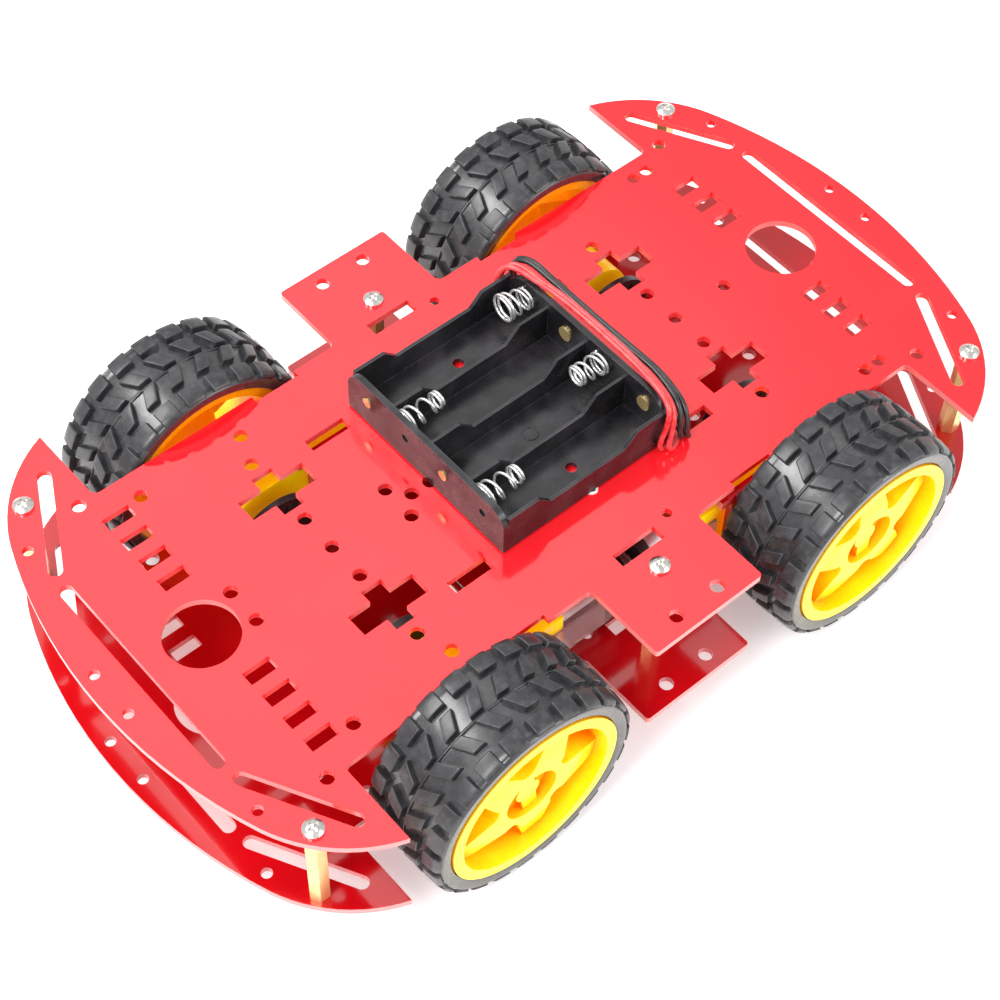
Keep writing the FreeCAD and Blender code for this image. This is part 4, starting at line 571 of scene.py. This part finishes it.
def build_tyres():
    tread, body = tread_mesh(), spun(carcass_profile(), 144, "tyre_body")
    for mesh, material in ((tread, FINISHES["tyre"]), (body, TYRE_BODY)):
        mesh.materials.append(material)
    for corner in CORNERS:
        low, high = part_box(f"tyre_{corner}")
        half_turn = math.pi if (low.y + high.y) > 0 else 0.0
        place = Matrix.Translation((low + high) / 2) @ Matrix.Rotation(half_turn, 4, "Z")
        for mesh, name, width in ((body, "tyre_body", 0.15), (tread, "tyre_tread", 0.28)):
            piece = bpy.data.objects.new(f"{name}_{corner}", mesh)
            bpy.context.scene.collection.objects.link(piece)
            piece.matrix_world = place
            soften(piece, width)
            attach(piece, f"wheel_{corner}")
            if name == "tyre_body":
                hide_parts(f"tyre_{corner}")


# ---------------------------------------------------------------- rims
RIM_TURN = {"fl": 0.0, "fr": -3.0, "rl": 0.0, "rr": -7.0}


def clean_copy(source, name):
    """A CAD shape with its seams joined and its level faces made whole, so that its edges can be rounded."""
    shape = bmesh.new()
    shape.from_mesh(source)
    bmesh.ops.remove_doubles(shape, verts=shape.verts, dist=0.002 * MM)
    bmesh.ops.dissolve_limit(shape, angle_limit=math.radians(0.5), verts=shape.verts, edges=shape.edges)
    for edge in shape.edges:
        edge.smooth = not (len(edge.link_faces) == 2 and edge.calc_face_angle() > math.radians(35))
    for face in shape.faces:
        face.smooth = True
    mesh = bpy.data.meshes.new(name)
    shape.to_mesh(mesh)
    shape.free()
    return mesh


def build_rims():
    """Each rim is its CAD shape turned about the axle, as the wheels were pressed on at any angle."""
    for corner in CORNERS:
        low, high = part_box(f"wheel_rim_{corner}")
        centre = Vector(((low.x + high.x) / 2, 0.0, (low.z + high.z) / 2))
        turn = Matrix.Rotation(math.radians(RIM_TURN[corner]), 4, "Y")
        mesh = clean_copy(NODES[f"wheel_rim_{corner}"].data, f"spoked_rim_{corner}")
        mesh.materials.append(FINISHES["rim_plastic"])
        piece = bpy.data.objects.new(f"spoked_rim_{corner}", mesh)
        bpy.context.scene.collection.objects.link(piece)
        piece.matrix_world = Matrix.Translation(centre) @ turn @ Matrix.Translation(-centre)
        soften(piece, 0.5, 3)
        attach(piece, f"wheel_{corner}")
        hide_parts(f"wheel_rim_{corner}")


# ---------------------------------------------------------------- springs and leads
SIDES = 14
BAY_BACK, BAY_FRONT = -26.4, 27.4
# bay: (wall x, free x, y at the wall, y at the free end, height, wall radius, free radius, loose turns)
SPRINGS = {
    1: (BAY_FRONT, 19.2, 24.4, 25.8, 64.0, 2.9, 4.0, 1.5),
    2: (BAY_BACK, -14.2, 12.2, 12.8, 64.2, 3.5, 2.2, 2.0),
    3: (BAY_FRONT, 18.4, -5.2, -4.4, 64.3, 3.2, 2.7, 1.6),
    4: (BAY_BACK, -14.2, -18.8, -18.4, 64.1, 3.8, 2.4, 2.0),
}
TIGHT_TURNS = 1.7
TIGHT_PITCH = 1.0
WIRE = 0.38
LEAD = 0.75
LEAD_PATHS = {
    "red_wire": (
        ((24.2, 34.0, 63.0), (25.2, 33.9, 67.4), (27.2, 31.6, 69.5), (28.9, 24.0, 69.6), (30.3, 13.0, 69.3),
         (30.5, -2.0, 69.2), (30.1, -14.0, 69.2), (28.6, -25.0, 69.5), (27.2, -30.2, 67.8), (26.2, -31.0, 62.6),
         (24.4, -31.1, 57.2), (25.4, -31.2, 54.4), (29.6, -30.2, 54.2), (30.3, -20.0, 54.2), (30.3, 0.0, 54.2), (30.2, 28.0, 54.3), (26.6, 34.0, 56.6)),
        ((25.9, 34.7, 62.0), (27.2, 34.6, 66.4), (29.6, 32.0, 68.4), (30.7, 24.0, 68.5), (31.9, 13.0, 68.5),
         (32.1, -2.0, 68.3), (31.5, -14.0, 68.4), (29.9, -26.2, 68.0), (28.5, -30.8, 65.6), (27.8, -31.7, 60.6),
         (26.2, -32.6, 56.2), (27.8, -32.7, 54.3), (31.4, -29.8, 54.2), (31.9, -20.0, 54.2), (31.9, 0.0, 54.2), (31.8, 28.0, 54.3), (28.4, 34.9, 56.4)),
    ),
    "black_wire": (
        ((31.0, 36.0, 60.0), (31.3, 35.4, 65.2), (33.0, 31.6, 67.5), (33.6, 23.4, 67.4), (33.5, 8.0, 67.2),
         (33.6, -7.0, 67.3), (33.9, -17.0, 67.2), (32.3, -26.4, 66.8), (30.9, -31.0, 64.2), (30.3, -32.2, 59.0),
         (31.4, -31.9, 55.3), (33.6, -25.0, 54.2), (33.5, 0.0, 54.2), (33.6, 28.0, 54.3), (32.0, 35.8, 56.0)),
        ((33.4, 37.2, 59.4), (33.8, 36.4, 64.2), (35.0, 31.6, 66.2), (35.2, 23.0, 66.0), (35.1, 7.0, 66.0),
         (35.3, -8.0, 66.1), (35.4, -18.0, 65.9), (34.0, -27.4, 65.2), (32.6, -31.9, 62.4), (32.1, -33.0, 58.0),
         (33.1, -32.4, 55.0), (35.2, -25.0, 54.2), (35.1, 0.0, 54.2), (35.2, 28.0, 54.3), (34.2, 37.0, 55.8)),
    ),
}


def curve_through(points, steps):
    """A closed smooth path through points given in millimetres."""
    knots = [Vector(point) * MM for point in points]
    count = len(knots)
    path = []
    for index in range(count):
        before, first, second, after = (knots[(index + shift) % count] for shift in (-1, 0, 1, 2))
        for step in range(steps):
            t = step / steps
            path.append(0.5 * (2 * first + (second - before) * t
                               + (2 * before - 5 * first + 4 * second - after) * t ** 2
                               + (3 * first - before - 3 * second + after) * t ** 3))
    return path


def swept(path, radius, closed, name):
    """A round cord along a path, with domed ends when it is open."""
    count = len(path)
    shape = bmesh.new()
    rings = []
    across = None
    for index, point in enumerate(path):
        after = path[(index + 1) % count] if closed or index + 1 < count else point
        before = path[index - 1] if closed or index else point
        along = (after - before).normalized()
        side = across if across is not None else along.orthogonal()
        across = (side - along * side.dot(along)).normalized()
        other = along.cross(across)
        rings.append([shape.verts.new(point + radius * (math.cos(turn) * across + math.sin(turn) * other))
                      for turn in (2 * math.pi * number / SIDES for number in range(SIDES))])
    shift = 0
    if closed:
        gaps = [(rings[0][number].co - rings[-1][0].co).length for number in range(SIDES)]
        shift = gaps.index(min(gaps))
    for index in range(count if closed else count - 1):
        ring, following = rings[index], rings[(index + 1) % count]
        turn = shift if index == count - 1 else 0
        for number in range(SIDES):
            shape.faces.new((ring[number], ring[(number + 1) % SIDES],
                             following[(number + 1 + turn) % SIDES], following[(number + turn) % SIDES]))
    if not closed:
        for ring, place, inward in ((rings[0], path[0], path[1]), (rings[-1], path[-1], path[-2])):
            tip = shape.verts.new(place + (place - inward).normalized() * radius * 0.6)
            for number in range(SIDES):
                shape.faces.new((ring[number], ring[(number + 1) % SIDES], tip))
    bmesh.ops.recalc_face_normals(shape, faces=shape.faces)
    mesh = bpy.data.meshes.new(name)
    shape.to_mesh(mesh)
    shape.free()
    for face in mesh.polygons:
        face.use_smooth = True
    return mesh


def join_meshes(parts, name):
    """Several meshes as one."""
    shape = bmesh.new()
    for part in parts:
        shape.from_mesh(part)
    mesh = bpy.data.meshes.new(name)
    shape.to_mesh(mesh)
    shape.free()
    for face in mesh.polygons:
        face.use_smooth = True
    return mesh


def add_piece(name, mesh, slot, replaced=None):
    """A finished piece that is carried by the chassis."""
    mesh.materials.append(FINISHES[slot])
    piece = bpy.data.objects.new(name, mesh)
    bpy.context.scene.collection.objects.link(piece)
    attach(piece, "chassis")
    if replaced:
        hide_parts(replaced)
    return piece


def coil_path(wall_x, free_x, wall_y, free_y, height, wall_radius, free_radius, loose):
    """A spring that is tight at both ends, drawn out in the middle and tapered along its length."""
    total = 2 * TIGHT_TURNS + loose
    length = abs(free_x - wall_x)
    direction = math.copysign(1.0, free_x - wall_x)
    tight = TIGHT_TURNS * TIGHT_PITCH
    steps = int(total * 26)
    path = []
    for step in range(steps + 1):
        turns = total * step / steps
        if turns < TIGHT_TURNS:
            reach = turns * TIGHT_PITCH
        elif turns < TIGHT_TURNS + loose:
            reach = tight + (turns - TIGHT_TURNS) / loose * (length - 2 * tight)
        else:
            reach = length - tight + (turns - TIGHT_TURNS - loose) * TIGHT_PITCH
        share = reach / length
        radius = wall_radius + (free_radius - wall_radius) * share
        y = wall_y + (free_y - wall_y) * share
        angle = 2 * math.pi * turns * direction + 0.8
        path.append(Vector((wall_x + direction * (reach + WIRE + 0.1), y + radius * math.cos(angle),
                            height + radius * math.sin(angle))) * MM)
    return path


def build_springs():
    coils = [swept(coil_path(*values), WIRE * MM, False, f"coil_{bay}") for bay, values in SPRINGS.items()]
    add_piece("coil_springs", join_meshes(coils, "coil_springs"), "spring_steel", "cell_springs")


def build_mould_marks():
    """The raised ring of an ejector pin on a bay's floor, and a scrap of foam tape at the holder's foot."""
    low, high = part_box("battery_holder")
    tape_low, tape_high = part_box("holder_tape")
    floor_z = low.z + 1.4 * MM
    centre = Vector((1.6 * MM, -6.0 * MM, floor_z))
    circle = [centre + 2.1 * MM * Vector((math.cos(turn), math.sin(turn), 0.0))
              for turn in (2 * math.pi * number / 40 for number in range(40))]
    add_piece("ejector_ring", swept(circle, 0.22 * MM, True, "ejector_ring"), "holder_plastic")
    height = (tape_low.z + tape_high.z) / 2
    scrap = [Vector((x * MM, low.y + y * MM, height)) for x, y in ((1.2, 0.5), (2.0, -0.3), (3.0, -0.6), (4.1, 0.2))]
    add_piece("tape_scrap", swept(scrap, 0.42 * MM, False, "tape_scrap"), "foam_tape")


def build_leads():
    for node, strands in LEAD_PATHS.items():
        cords = [swept(curve_through(points, 12), LEAD * MM, True, node) for points in strands]
        slot = node.replace("wire", "insulation")
        add_piece(node.replace("wire", "lead"), join_meshes(cords, node), slot, node)


# ---------------------------------------------------------------- floor, light and camera
CAMERA_PLACE = Vector((-0.2437, -0.2674, 0.5173))
CAMERA_AZIMUTH = -42.0
CAMERA_ELEVATION = 53.92
CAMERA_ROLL = 1.73
CAMERA_LENS = 80.6
MIRRORED = (0.28, 0.44, 0.853)


def aimed(place, target, roll=0.0):
    """A transform that looks from a place to a target along its own -Z."""
    look = (target - place).to_track_quat("-Z", "Y").to_matrix().to_4x4()
    return Matrix.Translation(place) @ look @ Matrix.Rotation(math.radians(roll), 4, "Z")


def add_camera():
    azimuth, elevation = math.radians(CAMERA_AZIMUTH), math.radians(CAMERA_ELEVATION)
    back = Vector((math.sin(azimuth) * math.cos(elevation),
                   -math.cos(azimuth) * math.cos(elevation), math.sin(elevation)))
    data = bpy.data.cameras.new("camera")
    data.lens = CAMERA_LENS
    data.sensor_width = 36.0
    data.clip_start = 0.01
    camera = bpy.data.objects.new("camera", data)
    bpy.context.scene.collection.objects.link(camera)
    camera.matrix_world = aimed(CAMERA_PLACE, CAMERA_PLACE - back, CAMERA_ROLL)
    bpy.context.scene.camera = camera


def add_panel(name, place, target, width, height, power, colour=(1.0, 1.0, 1.0)):
    data = bpy.data.lights.new(name, "AREA")
    data.shape = "RECTANGLE"
    data.size = width
    data.size_y = height
    data.energy = power
    data.color = colour
    light = bpy.data.objects.new(name, data)
    bpy.context.scene.collection.objects.link(light)
    light.matrix_world = aimed(Vector(place), Vector(target))


def add_floor():
    """A pale sheet that sweeps level under the wheels, with a faint matte texture."""
    shape = bmesh.new()
    bmesh.ops.create_grid(shape, x_segments=8, y_segments=8, size=3.0)
    mesh = bpy.data.meshes.new("floor")
    shape.to_mesh(mesh)
    shape.free()
    floor = bpy.data.objects.new("floor", mesh)
    bpy.context.scene.collection.objects.link(floor)
    floor.location.z = CAD_BOX[0][2] - 0.0002
    skin = Finish("floor", Roughness=0.8)
    skin.put("Base Color", skin.mix(skin.noise(40.0, 3.0), (0.93, 0.93, 0.93), (0.95, 0.95, 0.95)))
    skin.put("Emission Color", (1.0, 1.0, 1.0))
    skin.put("Emission Strength", 0.3)
    skin.bump(skin.noise(0.8, 2.0), 0.02, 0.2)
    mesh.materials.append(skin.material)


def sky(world):
    """Even studio light that is brightest where the polished deck mirrors it to the camera."""
    tree = world.node_tree
    background = tree.nodes["Background"]
    place = tree.nodes.new("ShaderNodeTexCoord")
    facing = tree.nodes.new("ShaderNodeVectorMath")
    facing.operation = "DOT_PRODUCT"
    tree.links.new(place.outputs["Generated"], facing.inputs[0])
    facing.inputs[1].default_value = MIRRORED
    glow = tree.nodes.new("ShaderNodeMapRange")
    glow.interpolation_type = "SMOOTHSTEP"
    tree.links.new(facing.outputs["Value"], glow.inputs["Value"])
    for name, value in zip(("From Min", "From Max", "To Min", "To Max"), (0.95, 1.0, 0.78, 2.1)):
        glow.inputs[name].default_value = value
    tree.links.new(glow.outputs["Result"], background.inputs["Strength"])
    background.inputs["Color"].default_value = (1.0, 1.0, 1.0, 1.0)


def add_light():
    world = bpy.data.worlds.new("studio")
    world.use_nodes = True
    bpy.context.scene.world = world
    sky(world)
    middle = (0.0, 0.0, 0.04)
    add_panel("side_panel", (-0.8, -0.2, 1.0), middle, 0.35, 0.6, 9.0)
    add_panel("tread_panel", (-0.5, 0.55, 1.0), middle, 0.5, 0.4, 7.5)
    add_panel("near_panel", (0.5, -0.9, 0.7), middle, 0.7, 0.5, 5.0)
    bpy.context.scene.view_settings.view_transform = "Standard"


dress_cad_nodes()
build_tyres()
build_rims()
build_springs()
build_leads()
build_mould_marks()
add_floor()
add_light()
add_camera()
